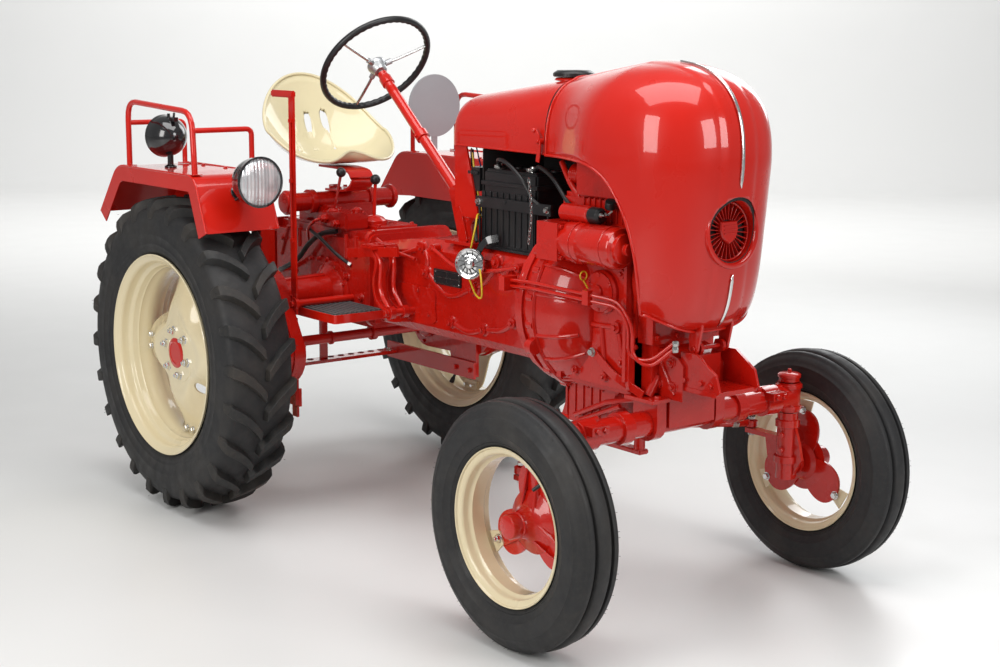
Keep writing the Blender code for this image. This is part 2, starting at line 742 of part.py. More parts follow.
# ---- wheels ----
def tyre_profile(radius, width, rim_radius, rim_half, crown):
    """Closed section of a plain tyre, from bead to bead over the tread and back inside."""
    half = width / 2
    sidewall = radius - rim_radius
    bead = rim_half - 0.016
    outside = [
        (rim_radius, -bead),
        (rim_radius + sidewall * 0.50, -half),
        (radius - crown * 1.8, -half * 0.97),
        (radius - crown * 0.6, -half * 0.72),
        (radius, 0),
    ]
    outside += [(r, -x) for r, x in reversed(outside[:-1])]
    inside = [
        (rim_radius + sidewall * 0.12, bead - 0.012),
        (radius - crown - 0.030, half * 0.72),
        (radius - crown - 0.030, -half * 0.72),
        (rim_radius + sidewall * 0.12, -bead + 0.012),
    ]
    return outside + inside


def tyre(name, radius, width, rim_radius, rim_half, crown, parent):
    profile = tyre_profile(radius, width, rim_radius - RIM_LIP + GAP, rim_half, crown)
    return solid(name, lathe(profile, WHEEL_SEGMENTS, "X"), "tyre_rubber", parent)


def rim_profile(radius, half, well, wall):
    """Rolled flanges, bead seats and a stepped well."""
    seat = radius - RIM_LIP
    outside = [
        (radius, -half),
        (seat, -half + 0.014),
        (seat, -half * 0.62),
        (well, -half * 0.42),
        (well, half * 0.42),
        (seat, half * 0.62),
        (seat, half - 0.014),
        (radius, half),
    ]
    inside = [
        (radius - wall, half),
        (seat - wall, half - 0.006),
        (seat - wall, half * 0.80),
        (well - wall, half * 0.38),
        (well - wall, -half * 0.38),
        (seat - wall, -half * 0.80),
        (seat - wall, -half + 0.006),
        (radius - wall, -half),
    ]
    return outside + inside


def rear_wheel(side, name, parent):
    """Rim and dished disc as one pressed wheel."""
    radius = REAR_RIM_RADIUS
    mesh = lathe(rim_profile(radius, REAR_RIM_HALF_WIDTH, radius - 0.045, 0.005), WHEEL_SEGMENTS, "X")
    made = solid(name, mesh, "cream_paint", parent)
    out = side * REAR_DISC_OUT
    thick = side * 0.008
    rings = []
    count = 32
    for share, along in ((0.0, out), (0.42, out), (0.60, out - side * 0.020), (1.0, out - side * 0.052)):
        rings.append((share, along))
    front, back = [], []
    for share, along in rings:
        ring_front, ring_back = [], []
        for i in range(count):
            angle = math.tau * i / count + math.pi / 4
            edge = 0.2315 + 0.051 * math.cos(4 * (angle - math.pi / 4))
            r = mix(REAR_HUB_RADIUS + 0.0006, edge, share)
            ring_front.append((along, r * math.cos(angle), r * math.sin(angle)))
            ring_back.append((along - thick, r * math.cos(angle), r * math.sin(angle)))
        front.append(ring_front)
        back.append(ring_back)
    loop = front + list(reversed(back)) + [front[0]]
    disc = skin(loop, caps=False)
    bmesh.ops.remove_doubles(disc, verts=disc.verts, dist=0.0001)
    unite(made, [disc])
    return made


def recalculated(mesh):
    bmesh.ops.recalc_face_normals(mesh, faces=mesh.faces)
    return mesh


def front_rim(side, name, parent):
    """Rim with three lugs that the hub's arms bolt to."""
    radius = FRONT_RIM_RADIUS
    mesh = lathe(rim_profile(radius, FRONT_RIM_HALF_WIDTH, radius - 0.026, 0.004), WHEEL_SEGMENTS, "X")
    made = solid(name, mesh, "cream_paint", parent)
    lugs = []
    for i in range(3):
        lug = block((-0.004, -0.018, 0.146), (0.004, 0.018, radius - 0.027), 0.001)
        lug.transform(Matrix.Translation((-side * (FRONT_HUB_IN - 0.0126), 0, 0)))
        lug.transform(Matrix.Rotation(math.radians(120 * i), 4, "X"))
        lugs.append(lug)
    unite(made, lugs)
    return made


def front_hub(side, name, parent):
    """Three-armed hub casting on its bearings, with the long cap outboard."""
    plate_at = -side * FRONT_HUB_IN
    cap = 0.048
    outline = []
    for i in range(36):
        angle = math.tau * i / 36
        radius = 0.114 + 0.050 * math.cos(3 * (angle - math.pi / 2))
        outline.append((radius * math.cos(angle), radius * math.sin(angle)))
    low, high = sorted((plate_at, plate_at + side * 0.008))
    made = solid(name, plate(outline, low, high, "X"), "red_paint", parent)
    barrel = rod((plate_at - side * 0.010, 0, 0), (side * cap, 0, 0), 0.034, 20)
    flare = lathe([(0, plate_at), (0.060, plate_at), (0.036, plate_at + side * 0.030),
                   (0, plate_at + side * 0.030)], 24, "X")
    unite(made, [flare, barrel])
    bore_end = side * 0.032
    cut(made, [rod((plate_at - side * 0.05, 0, 0), (bore_end, 0, 0), SPINDLE_RADIUS + 0.0005, 24)])
    return made


# ---- operator's place ----
def offset_path(path, depth):
    """The same (y, z) path moved square to itself, inwards."""
    moved = []
    for index, point in enumerate(path):
        before = path[max(index - 1, 0)]
        after = path[min(index + 1, len(path) - 1)]
        along = (after - before).normalized()
        moved.append(point + Vector((0, along.z, -along.y)) * depth)
    return moved


def fender(side, name, parent):
    """Folded sheet channel over the wheel, with an inner skirt and its bracket."""
    front_y, front_z = FENDER_FRONT_LOW
    rear_y, rear_z = FENDER_REAR_LOW
    line = [(front_y, front_z), (FENDER_FRONT_TOP, FENDER_TOP), (FENDER_REAR_TOP, FENDER_TOP),
            (rear_y, rear_z)]
    path = rounded_path([Vector((0, y, z)) for y, z in line], FENDER_BEND, 4)
    section = [
        (FENDER_OUTER, FENDER_LIP),
        (FENDER_OUTER, 0),
        (FENDER_INNER, 0),
        (FENDER_INNER, FENDER_FLANGE),
        (FENDER_INNER + SHEET, FENDER_FLANGE),
        (FENDER_INNER + SHEET, SHEET),
        (FENDER_OUTER - SHEET, SHEET),
        (FENDER_OUTER - SHEET, FENDER_LIP),
    ]
    bands = [[(side * x, p.y, p.z) for p in offset_path(path, depth)] for x, depth in section]
    made = solid(name, skin([list(ring) for ring in zip(*bands)]), "red_paint", parent)
    skirt = [(p.y, p.z) for p in offset_path(path, FENDER_FLANGE / 2)]
    skirt += [(0.20, SKIRT_BOTTOM), (-0.18, SKIRT_BOTTOM)]
    skirt_edges = sorted((side * (FENDER_INNER + 0.0005), side * (FENDER_INNER + SHEET - 0.0005)))
    skirt_sheet = recalculated(plate(skirt, *skirt_edges, "X"))
    near, far = sorted((side * BRACKET_INNER, side * (FENDER_INNER + SHEET / 2)))
    bracket = block((near, AXLE_TUBE_Y - 0.030, AXLE_TUBE_Z + 0.095 + GAP),
                    (far, AXLE_TUBE_Y + 0.030, SKIRT_BOTTOM + 0.03))
    unite(made, [skirt_sheet, bracket])
    return made


def fender_rail(side, name, parent):
    """Two hoops of round bar standing on the fender, joined by cross bars."""
    foot = FENDER_TOP + GAP
    outer, inner = side * RAIL_OUTER, side * RAIL_INNER
    top = 1.330
    made = solid(name, tube([(outer, 0.225, foot), (outer, 0.225, top), (outer, -0.215, top - 0.02),
                             (outer, -0.226, foot + GAP)], RAIL_RADIUS, 0.06, 12, (1, 0, 0)),
                 "red_paint", parent)
    shapes = []
    for y, height in ((0.225, 1.258), (-0.226, 1.254)):
        bar = [(outer, y, height), (inner, y, height), (inner, y, foot)]
        shapes.append(tube(bar, RAIL_RADIUS * 0.9, 0.02, 12, (0, 1, 0)))
    unite(made, shapes)
    return made


def headlamp(side, name, parent):
    """Round lamp on a short bracket bolted to the front of the fender."""
    profile = [(0, -0.030), (0.070, -0.030), (0.079, -0.024), (0.079, -0.014), (0.072, -0.008)]
    profile += [(0.062, 0.045), (0.035, 0.078), (0, 0.086)]
    x, y, z = HEADLAMP
    made = solid(name, lathe(profile, 24, "Y"), "black_paint", parent, (side * x, y, z))
    slope = Vector((0, FENDER_FRONT_LOW[0] - FENDER_FRONT_TOP, FENDER_FRONT_LOW[1] - FENDER_TOP))
    outward = Vector((0, slope.z, -slope.y)).normalized()
    foot = Vector((0, FENDER_FRONT_TOP, FENDER_TOP)) + slope * 0.32 + outward * 0.0018
    arm = rod((0, 0.050, 0), (0, foot.y - y, foot.z - z), 0.010, 12)
    unite(made, [arm])
    return made


def work_lamp(parent):
    """Lamp facing rearwards on a stalk over the right fender."""
    profile = [(0, 0.040), (0.064, 0.040), (0.070, 0.034), (0.070, 0.022), (0.060, -0.020), (0.036, -0.046)]
    profile += [(0, -0.052)]
    place = (-0.600, 0.080, 1.218)
    made = solid("work_lamp", lathe(profile, 32, "Y"), "black_paint", parent, place)
    stalk = rod((0, 0, 0), (0, 0, FENDER_TOP + GAP - place[2]), 0.010, 12)
    unite(made, [stalk])
    return made


def mirror(parent):
    """Round reflector plate on a stalk on the left fender."""
    made = solid("fender_reflector", rod((0, 0, 0), (0, 0.008, 0), 0.115, 40), "grey_paint", parent,
                 (0.520, 0.150, 1.290))
    stalk = block((-0.012, 0.001, FENDER_TOP + GAP - 1.290), (0.012, 0.007, 0), 0)
    unite(made, [stalk])
    return made


def seat_height(across, along, share):
    """Height of the pressed seat at a share of the way out in a direction."""
    back = SEAT_BACK_HEIGHT * max(along, 0) ** 1.6 * share ** 2.6
    flank = SEAT_FLANK_HEIGHT * across ** 2 * share ** 3 * min(1 + along, 1)
    pommel = SEAT_POMMEL_HEIGHT * math.exp(-((across / 0.30) ** 2)) * share ** 4 if along < 0 else 0
    return back + flank + pommel + SEAT_DISH * share ** 2


def seat_pan(parent):
    """Pressed bucket seat, raised at the back, with a pommel between two thigh lobes."""
    count, rows = 32, 5
    mesh = bmesh.new()
    middle = mesh.verts.new((0, 0, 0))
    rings = []
    for row in range(1, rows + 1):
        share = row / rows
        ring = []
        for i in range(count):
            angle = math.tau * i / count
            across, along = math.cos(angle), math.sin(angle)
            length = SEAT_REAR if along > 0 else SEAT_FRONT
            lobe = 1 - SEAT_NOTCH * math.exp(-((across / 0.30) ** 2)) * share ** 3 if along < 0 else 1
            place = (SEAT_HALF_WIDTH * across * share, length * along * share * lobe,
                     seat_height(across, along, share))
            ring.append(mesh.verts.new(place))
        rings.append(ring)
    for i in range(count):
        mesh.faces.new((middle, rings[0][i], rings[0][(i + 1) % count]))
    for first, second in zip(rings, rings[1:]):
        for i in range(count):
            j = (i + 1) % count
            mesh.faces.new((first[i], second[i], second[j], first[j]))
    made = solid("seat_pan", mesh, "cream_paint", parent, SEAT_CENTRE)
    shell = made.modifiers.new("Sheet", "SOLIDIFY")
    shell.thickness = SEAT_THICKNESS
    shell.offset = -1.0
    return made


def seat_spring(parent):
    """Wide C-shaped leaf under the seat, bolted to the cross tube."""
    width = 0.090
    under = SEAT_CENTRE[2] - SEAT_THICKNESS - SPRING_THICKNESS / 2 - GAP
    foot = LIFT_HEIGHT + LIFT_RADIUS + SPRING_THICKNESS / 2 + GAP
    path = [(0.06, under), (-0.06, under - 0.001), (-0.130, under - 0.010), (-0.150, under - 0.045),
            (-0.110, foot + 0.004), (-0.060, foot + 0.001), (0.020, foot)]
    points = rounded_path([Vector((0, y, z)) for y, z in path], 0.04, 3)
    thick = SPRING_THICKNESS / 2
    outline = [(-width / 2, -thick), (width / 2, -thick), (width / 2, thick), (-width / 2, thick)]
    made = solid("seat_spring", sweep(points, outline, (0, 0.3, 1)), "red_paint", parent)
    return made


def cross_tube(parent):
    """Lift shaft housing across the top of the gearbox."""
    bar = rod((-0.21, 0, LIFT_HEIGHT), (0.21, 0, LIFT_HEIGHT), LIFT_RADIUS, 24)
    made = solid("lift_housing", bar, "red_paint", parent)
    base = block((-0.10, -0.07, HOUSING_TOP - 0.02 + GAP), (0.10, 0.11, 0.975), 0.008)
    unite(made, [base])
    return made


def dash_post(parent):
    """Bent sheet bracket that carries the tank's rear end and the battery tray."""
    outline = [(-0.845, HOUSING_TOP + 0.09), (-0.845, COWL_BOTTOM - GAP), (-0.900, COWL_BOTTOM - GAP),
               (-0.960, HOUSING_TOP + 0.09)]
    left = plate([(y, z) for y, z in outline], -0.130, -0.124, "X")
    made = solid("tank_support", left, "red_paint", parent)
    right = plate([(y, z) for y, z in outline], 0.124, 0.130, "X")
    panel = block((-0.130, -0.960, HOUSING_TOP + 0.084), (0.130, -0.840, HOUSING_TOP + 0.092), 0)
    feet = [block((side * 0.10 - 0.02, -0.958, HOUSING_TOP + GAP),
                  (side * 0.10 + 0.02, -0.948, HOUSING_TOP + 0.088)) for side in (-1, 1)]
    unite(made, [right, panel] + feet)
    return made


def battery(parent):
    low = (-0.125, -1.225, HOUSING_TOP + GAP)
    high = (0.045, -0.980, HOUSING_TOP + 0.232)
    return solid("battery", block(low, high, 0.006), "black_plastic", parent)


def step(side, name, parent):
    """Rubber-topped footrest beside the clutch housing."""
    inner, outer = side * (HOUSING_HALF_WIDTH + GAP), side * STEP_OUTER
    low, high = sorted((inner, outer))
    made = solid(name, block((low, STEP_FRONT, STEP_TOP - 0.020), (high, STEP_REAR, STEP_TOP), 0.005),
                 "step_rubber", parent)
    return made


def cross_shaft(parent):
    """Round lift shaft under the gearbox, with the lift link hanging at its right end."""
    reach = HANGER_IN - GAP
    made = solid("cross_shaft", rod((-reach, 0, 0), (reach, 0, 0), SHAFT_RADIUS, 16), "red_paint", parent,
                 (0, SHAFT_Y, SHAFT_Z))
    crank = block((-reach + 0.002, -0.070, -0.014), (-reach + 0.014, 0.014, 0.014))
    link = block((-reach + 0.013, -0.075, LINK_BOTTOM - SHAFT_Z),
                 (-reach + 0.021, -0.045, LINK_TOP - SHAFT_Z))
    unite(made, [crank, link])
    return made


def drawbar(parent):
    """Flat drilled cross bar behind the gearbox, on two side bars that run forward to the hangers."""
    side_bar = HANGER_IN - GAP
    low, high = DRAWBAR_HEIGHT - DRAWBAR_THICKNESS, DRAWBAR_HEIGHT
    cross_bar = block((-side_bar, DRAWBAR_Y - 0.030, low), (side_bar, DRAWBAR_Y + 0.030, high), 0.002)
    made = solid("drawbar", cross_bar, "red_paint", parent)
    shapes = []
    for side in (-1, 1):
        near, far = sorted((side * (side_bar - 0.010), side * (side_bar + 0.00002)))
        shapes.append(block((near, HANGER_FRONT, low - 0.020), (far, DRAWBAR_Y + 0.031, high + 0.028)))
    shapes.append(block((0.035, DRAWBAR_Y - 0.006, high - 0.002),
                        (0.065, DRAWBAR_Y + 0.004, GEARBOX_BOTTOM - GAP)))
    unite(made, shapes)
    return made


def hand_lever(parent):
    """Tall lift lever with its grip and foot pivot, right of the seat."""
    x = -0.372
    made = solid("lift_lever", block((x - 0.003, -0.322, 0.66), (x + 0.003, -0.292, 1.372), 0), "red_paint",
                 parent)
    grip = block((x - 0.008, -0.322, 1.352), (x + 0.008, -0.190, 1.374), 0.004)
    pivot = rod((x, -0.307, 0.694), (-HOUSING_HALF_WIDTH - GAP, -0.307, 0.694), 0.012, 12)
    unite(made, [grip, pivot])
    return made


def gear_levers(parent):
    """Domed cap on the gearbox with the gear lever."""
    base = (0.0, -0.215, HOUSING_TOP - 0.02 + GAP)
    profile = [(0, 0), (0.042, 0), (0.042, 0.022), (0.030, 0.034), (0.012, 0.040), (0, 0.040)]
    made = solid("gear_lever", lathe(profile, 24, "Z"), "red_paint", parent, base)
    stick = rod((0, 0, 0.030), (0.010, 0.006, 0.150), 0.006, 10)
    knob = bmesh.new()
    bmesh.ops.create_uvsphere(knob, u_segments=12, v_segments=8, radius=0.015)
    knob.transform(Matrix.Translation((0.010, 0.006, 0.158)))
    unite(made, [stick, knob])
    return made


def valve_block(parent):
    """Valve on the gearbox's top with its lever."""
    body = block((-0.145, -0.265, HOUSING_TOP - 0.02 + GAP), (-0.055, -0.105, 0.965), 0.006)
    made = solid("hydraulic_valve", body, "red_paint", parent)
    stick = rod((-0.120, -0.150, 0.955), (-0.122, -0.200, 1.090), 0.005, 10)
    knob = bmesh.new()
    bmesh.ops.create_uvsphere(knob, u_segments=12, v_segments=8, radius=0.014)
    knob.transform(Matrix.Translation((-0.122, -0.202, 1.098)))
    unite(made, [stick, knob])
    return made


def pedals(parent):
    """Brake pedal pair on one cross shaft at the right of the clutch housing."""
    x = -HOUSING_HALF_WIDTH
    made = solid("brake_pedals", rod((x - GAP, -0.660, 0.700), (x - 0.105, -0.660, 0.700), 0.012, 12),
                 "red_paint", parent)
    shapes = []
    for offset in (0.040, 0.090):
        path = [(x - offset, -0.660, 0.700), (x - offset, -0.600, 0.760), (x - offset, -0.610, 0.860),
                (x - offset, -0.560, 0.895)]
        shapes.append(tube(path, 0.007, 0.03, 10, (1, 0, 0)))
        shapes.append(block((x - offset - 0.022, -0.600, 0.890), (x - offset + 0.022, -0.520, 0.900),
                            0.003))
    unite(made, shapes)
    return made


# ---- assembly ----
def build():
    clear_scene()
    tractor = empty("tractor", (0, REAR_AXLE_Y, 0))
    tank_cowl(tractor)
    fuel_cap(tractor)
    gearbox(tractor)
    clutch_housing(tractor)
    flywheel_housing(tractor)
    engine(tractor)
    sump(tractor)
    front_pedestal(tractor)
    front_axle(tractor)
    steering_column(tractor)
    steering_gear(tractor)
    seat_pan(tractor)
    seat_spring(tractor)
    cross_tube(tractor)
    dash_post(tractor)
    battery(tractor)
    cross_shaft(tractor)
    drawbar(tractor)
    hand_lever(tractor)
    gear_levers(tractor)
    valve_block(tractor)
    pedals(tractor)
    work_lamp(tractor)
    mirror(tractor)

    hinge = empty("bonnet_hinge", (0, BONNET_HINGE_Y, BONNET_HINGE_Z), tractor)
    bonnet(hinge)
    grille(hinge)
    wheel_axis = empty("steering_wheel_axis", COLUMN_TOP, tractor)
    steering_wheel(wheel_axis)
    arm_axis = empty("steering_arm_axis", (0, DROP_ARM_Y, 0), tractor)
    drop_arm(arm_axis)

    for side, word in ((-1, "right"), (1, "left")):
        final_drive(side, f"final_drive_{word}", tractor)
        fender(side, f"fender_{word}", tractor)
        fender_rail(side, f"fender_rail_{word}", tractor)
        headlamp(side, f"headlamp_{word}", tractor)
        step(side, f"footstep_{word}", tractor)
        level = 0.0 if side == -1 else 0.024
        pin_height = STEER_ROD_HEIGHT + 0.003 + level
        rod_pin = empty(f"tie_rod_{word}_pin", (0, DROP_ARM_Y + STEER_ARM, pin_height), tractor)
        tie_rod(side, f"tie_rod_{word}", level, rod_pin)
        kingpin = empty(f"kingpin_{word}", (side * KINGPIN_X, FRONT_AXLE_Y, 0), tractor)
        knuckle(side, f"knuckle_{word}", kingpin)
        front = empty(f"front_axle_{word}", (side * FRONT_TRACK_HALF, FRONT_AXLE_Y, FRONT_TYRE_RADIUS),
                      tractor)
        front_hub(side, f"front_hub_{word}", front)
        front_rim(side, f"front_rim_{word}", front)
        tyre(f"front_tyre_{word}", FRONT_TYRE_RADIUS, FRONT_TYRE_WIDTH, FRONT_RIM_RADIUS,
             FRONT_RIM_HALF_WIDTH, 0.020, front)
        rear = empty(f"rear_axle_{word}", (side * REAR_TRACK_HALF, 0, REAR_TYRE_RADIUS), tractor)
        rear_wheel(side, f"rear_wheel_{word}", rear)
        tyre(f"rear_tyre_{word}", REAR_TYRE_RADIUS, REAR_TYRE_WIDTH, REAR_RIM_RADIUS,
             REAR_RIM_HALF_WIDTH, 0.030, rear)


build()
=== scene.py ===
"""Looks of a small vintage farm tractor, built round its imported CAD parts."""

from math import copysign, cos, exp, hypot, pi, radians, sin, sqrt, tau

import bmesh
import bpy
from mathutils import Matrix, Vector


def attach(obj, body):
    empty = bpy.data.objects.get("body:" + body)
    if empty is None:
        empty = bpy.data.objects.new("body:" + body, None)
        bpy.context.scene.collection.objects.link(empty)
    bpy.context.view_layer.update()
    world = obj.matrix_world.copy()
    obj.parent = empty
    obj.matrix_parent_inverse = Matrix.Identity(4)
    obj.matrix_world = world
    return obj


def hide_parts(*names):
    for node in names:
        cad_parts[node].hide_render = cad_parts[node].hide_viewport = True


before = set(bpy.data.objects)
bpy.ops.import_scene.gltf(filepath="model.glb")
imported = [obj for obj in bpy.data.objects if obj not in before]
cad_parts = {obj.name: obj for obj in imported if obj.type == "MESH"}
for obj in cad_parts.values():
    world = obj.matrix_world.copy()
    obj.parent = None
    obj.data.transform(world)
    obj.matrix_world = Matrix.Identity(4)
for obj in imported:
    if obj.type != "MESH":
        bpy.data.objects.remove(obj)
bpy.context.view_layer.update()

# Pieces are drawn in metres from the ground under the rear axle; the tractor faces -Y, its right is -X.
ORIGIN = Vector((0.0, 0.75275, 0.0))
SIDES = ((1, "left"), (-1, "right"))
FRONT_Y = -1.694


# ---- materials ----
class Finish:
    """A material with its node tree and short ways to add to it."""

    def __init__(self, name, colour, roughness, metallic=0.0, coat=0.0, specular=0.5):
        self.material = bpy.data.materials.new(name)
        self.material.use_nodes = True
        self.tree = self.material.node_tree
        self.shader = self.tree.nodes["Principled BSDF"]
        self.shader.inputs["Base Color"].default_value = (*colour, 1)
        self.shader.inputs["Roughness"].default_value = roughness
        self.shader.inputs["Metallic"].default_value = metallic
        self.shader.inputs["Coat Weight"].default_value = coat
        self.shader.inputs["Coat Roughness"].default_value = 0.04
        self.shader.inputs["Specular IOR Level"].default_value = specular
        self.material.diffuse_color = (*colour, 1)
        self.place = self.tree.nodes.new("ShaderNodeTexCoord").outputs["Object"]
        self.height = None

    def noise(self, scale, detail=4.0, stretch=None, distortion=0.0):
        node = self.tree.nodes.new("ShaderNodeTexNoise")
        node.inputs["Scale"].default_value = scale
        node.inputs["Detail"].default_value = detail
        node.inputs["Distortion"].default_value = distortion
        self.link(self.stretched(stretch), node.inputs["Vector"])
        return node.outputs["Fac"]

    def stretched(self, stretch):
        if stretch is None:
            return self.place
        node = self.tree.nodes.new("ShaderNodeMapping")
        node.inputs["Scale"].default_value = stretch
        self.link(self.place, node.inputs["Vector"])
        return node.outputs["Vector"]

    def voronoi(self, scale):
        node = self.tree.nodes.new("ShaderNodeTexVoronoi")
        node.inputs["Scale"].default_value = scale
        self.link(self.place, node.inputs["Vector"])
        return node.outputs["Distance"]

    def wave(self, scale, distortion=0.0):
        node = self.tree.nodes.new("ShaderNodeTexWave")
        node.inputs["Scale"].default_value = scale
        node.inputs["Distortion"].default_value = distortion
        self.link(self.place, node.inputs["Vector"])
        return node.outputs["Fac"]

    def ramp(self, value, low, high, to_low=0.0, to_high=1.0):
        node = self.tree.nodes.new("ShaderNodeMapRange")
        for socket, number in (("From Min", low), ("From Max", high), ("To Min", to_low), ("To Max", to_high)):
            node.inputs[socket].default_value = number
        self.link(value, node.inputs["Value"])
        return node.outputs["Result"]

    def tint(self, factor, colour):
        """Mixes a colour into what the base colour holds so far."""
        node = self.tree.nodes.new("ShaderNodeMix")
        node.data_type = "RGBA"
        self.link(factor, node.inputs["Factor"])
        base = self.shader.inputs["Base Color"]
        if base.links:
            self.link(base.links[0].from_socket, node.inputs["A"])
        else:
            node.inputs["A"].default_value = base.default_value
        node.inputs["B"].default_value = (*colour, 1)
        self.link(node.outputs["Result"], base)
        return self

    def bump(self, value, strength, distance=0.001):
        node = self.tree.nodes.new("ShaderNodeBump")
        node.inputs["Strength"].default_value = strength
        node.inputs["Distance"].default_value = distance
        self.link(value, node.inputs["Height"])
        if self.height is not None:
            self.link(self.height, node.inputs["Normal"])
        self.height = node.outputs["Normal"]
        self.link(self.height, self.shader.inputs["Normal"])
        return self

    def rough(self, value):
        self.link(value, self.shader.inputs["Roughness"])
        return self

    def link(self, out, into):
        self.tree.links.new(out, into)


def gloss_paint(name, colour, dark, light):
    """Sprayed gloss paint: faint orange peel, slow change of shade, a little dust in the grain."""
    finish = Finish(name, colour, 0.3, coat=0.85, specular=0.18)
    finish.tint(finish.ramp(finish.noise(1.7, 3), 0.35, 0.7, 0.0, 0.55), dark)
    finish.tint(finish.ramp(finish.noise(5.3, 5), 0.55, 0.8, 0.0, 0.25), light)
    finish.rough(finish.ramp(finish.noise(9.0, 6), 0.3, 0.75, 0.24, 0.42))
    finish.bump(finish.noise(260, 2), 0.05, 0.0006)
    finish.bump(finish.noise(3.2, 2), 0.05, 0.012)
    return finish


def cast_paint(name, colour, dark, grime):
    """Gloss paint over rough castings, with grime in patches."""
    finish = Finish(name, colour, 0.3, coat=0.75, specular=0.22)
    finish.tint(finish.ramp(finish.noise(3.0, 6), 0.4, 0.72, 0.0, 0.6), dark)
    finish.tint(finish.ramp(finish.noise(11.0, 8, distortion=0.4), 0.6, 0.8, 0.0, 0.35), grime)
    finish.rough(finish.ramp(finish.noise(14.0, 6), 0.3, 0.8, 0.18, 0.42))
    finish.bump(finish.noise(120, 5), 0.22, 0.0012)
    finish.bump(finish.noise(22, 4), 0.3, 0.0045)
    return finish


def rubber(name, colour, dust, dust_amount, roughness=0.62):
    """Rubber with dust in its grain."""
    finish = Finish(name, colour, roughness, specular=0.35)
    finish.tint(finish.ramp(finish.noise(7.0, 8, distortion=0.6), 0.42, 0.75, 0.0, dust_amount), dust)
    finish.tint(finish.ramp(finish.noise(90, 6), 0.5, 0.8, 0.0, dust_amount * 0.7), dust)
    finish.rough(finish.ramp(finish.noise(30, 6), 0.3, 0.8, roughness - 0.14, roughness + 0.12))
    finish.bump(finish.noise(300, 4), 0.25, 0.0008)
    finish.bump(finish.noise(34, 5), 0.18, 0.002)
    return finish


def metal(name, colour, roughness, scratches=0.0, tarnish=0.35):
    """Bare or plated metal, a little tarnished."""
    finish = Finish(name, colour, roughness, metallic=1.0)
    finish.tint(finish.ramp(finish.noise(40, 6), 0.45, 0.8, 0.0, tarnish), tuple(c * 0.55 for c in colour))
    finish.rough(finish.ramp(finish.noise(60, 5), 0.3, 0.8, roughness * 0.7, roughness * 1.5))
    if scratches:
        finish.bump(finish.noise(180, 3, (1, 1, 12)), scratches, 0.0006)
    return finish


def cable(name, colour, roughness):
    """Plastic sheath of a wire."""
    finish = Finish(name, colour, roughness)
    return finish.bump(finish.noise(200, 2), 0.1).material


red = gloss_paint("red_gloss_paint", (0.6, 0.011, 0.0035), (0.44, 0.006, 0.003), (0.68, 0.02, 0.006)).material
red_cast = cast_paint("red_cast_paint", (0.54, 0.0095, 0.0035), (0.34, 0.005, 0.003),
    (0.12, 0.008, 0.005)).material
cream = gloss_paint("cream_gloss_paint", (0.8, 0.7, 0.47), (0.7, 0.58, 0.36), (0.86, 0.79, 0.6)).material
# The seat's cream, made darker than its own colour so its top does not burn out under the strong light: painted
# shade.
seat_cream_shaded = gloss_paint("seat_cream_paint_shaded", (0.74, 0.66, 0.43), (0.66, 0.57, 0.35), (0.8, 0.73, 0.52)).material
tyre_dark = rubber("tyre_rubber", (0.02, 0.02, 0.021), (0.052, 0.046, 0.04), 0.45).material
tyre_lug = rubber("tyre_lug_rubber", (0.02, 0.02, 0.02), (0.062, 0.05, 0.04), 0.6).material
step_mat = rubber("step_rubber", (0.085, 0.088, 0.092), (0.16, 0.15, 0.14), 0.5, 0.55).material
hose_mat = rubber("hose_rubber", (0.016, 0.016, 0.017), (0.05, 0.045, 0.04), 0.3, 0.4).material
steel = metal("bright_steel", (0.62, 0.62, 0.6), 0.28, 0.15).material
chrome = metal("chrome", (0.78, 0.78, 0.78), 0.11, tarnish=0.08).material
aluminium = metal("cast_aluminium", (0.55, 0.56, 0.57), 0.42, 0.2).material
trim_silver = metal("trim_aluminium", (0.8, 0.81, 0.8), 0.22).material
black = Finish("black_gloss_paint", (0.01, 0.01, 0.011), 0.16, coat=0.9)
black.rough(black.ramp(black.noise(12, 4), 0.3, 0.8, 0.1, 0.26))
black = black.bump(black.noise(240, 2), 0.04, 0.0005).material
plastic = Finish("black_plastic", (0.014, 0.014, 0.015), 0.34, specular=0.45)
plastic.bump(plastic.noise(420, 2), 0.12, 0.0005)
plastic = plastic.tint(plastic.ramp(plastic.noise(18, 6), 0.5, 0.8, 0.0, 0.4), (0.035, 0.034, 0.033)).material
# Flat black for sheets put where only shade falls: painted shade, with a random reddish mottle in it.
inner_dark = Finish("shadow_black", (0.012, 0.011, 0.011), 0.8)
shade_mottle = inner_dark.ramp(inner_dark.noise(25, 5), 0.4, 0.8, 0.0, 0.5)
inner_dark = inner_dark.tint(shade_mottle, (0.03, 0.012, 0.01)).material
yellow = cable("yellow_cable", (0.72, 0.5, 0.02), 0.4)
white_wire = cable("white_cable", (0.7, 0.68, 0.62), 0.45)
blue_wire = cable("blue_cable", (0.03, 0.12, 0.45), 0.45)
grey = Finish("grey_paint", (0.36, 0.36, 0.38), 0.42, coat=0.3)
grey.tint(grey.ramp(grey.noise(4, 6), 0.4, 0.8, 0.0, 0.5), (0.26, 0.26, 0.28))
grey = grey.bump(grey.noise(160, 3), 0.08).material
red_lens = Finish("red_lens", (0.5, 0.01, 0.008), 0.12, coat=1.0)
red_lens = red_lens.bump(red_lens.voronoi(160), 0.5, 0.001).material
lens_glass = Finish("ribbed_lamp_lens", (0.78, 0.8, 0.81), 0.1, metallic=0.35, coat=1.0)
lens_glass.tint(lens_glass.ramp(lens_glass.wave(9), 0.35, 0.75, 0.0, 0.55), (0.5, 0.52, 0.54))
lens_glass.tint(lens_glass.ramp(lens_glass.noise(16, 3), 0.45, 0.7, 0.0, 0.6), (0.24, 0.25, 0.26))
lens_glass.rough(lens_glass.ramp(lens_glass.noise(30, 4), 0.3, 0.8, 0.06, 0.16))
lens_glass.bump(lens_glass.wave(26, 0.3), 0.35, 0.002)
lens_glass = lens_glass.bump(lens_glass.noise(14, 3), 0.35, 0.004).material


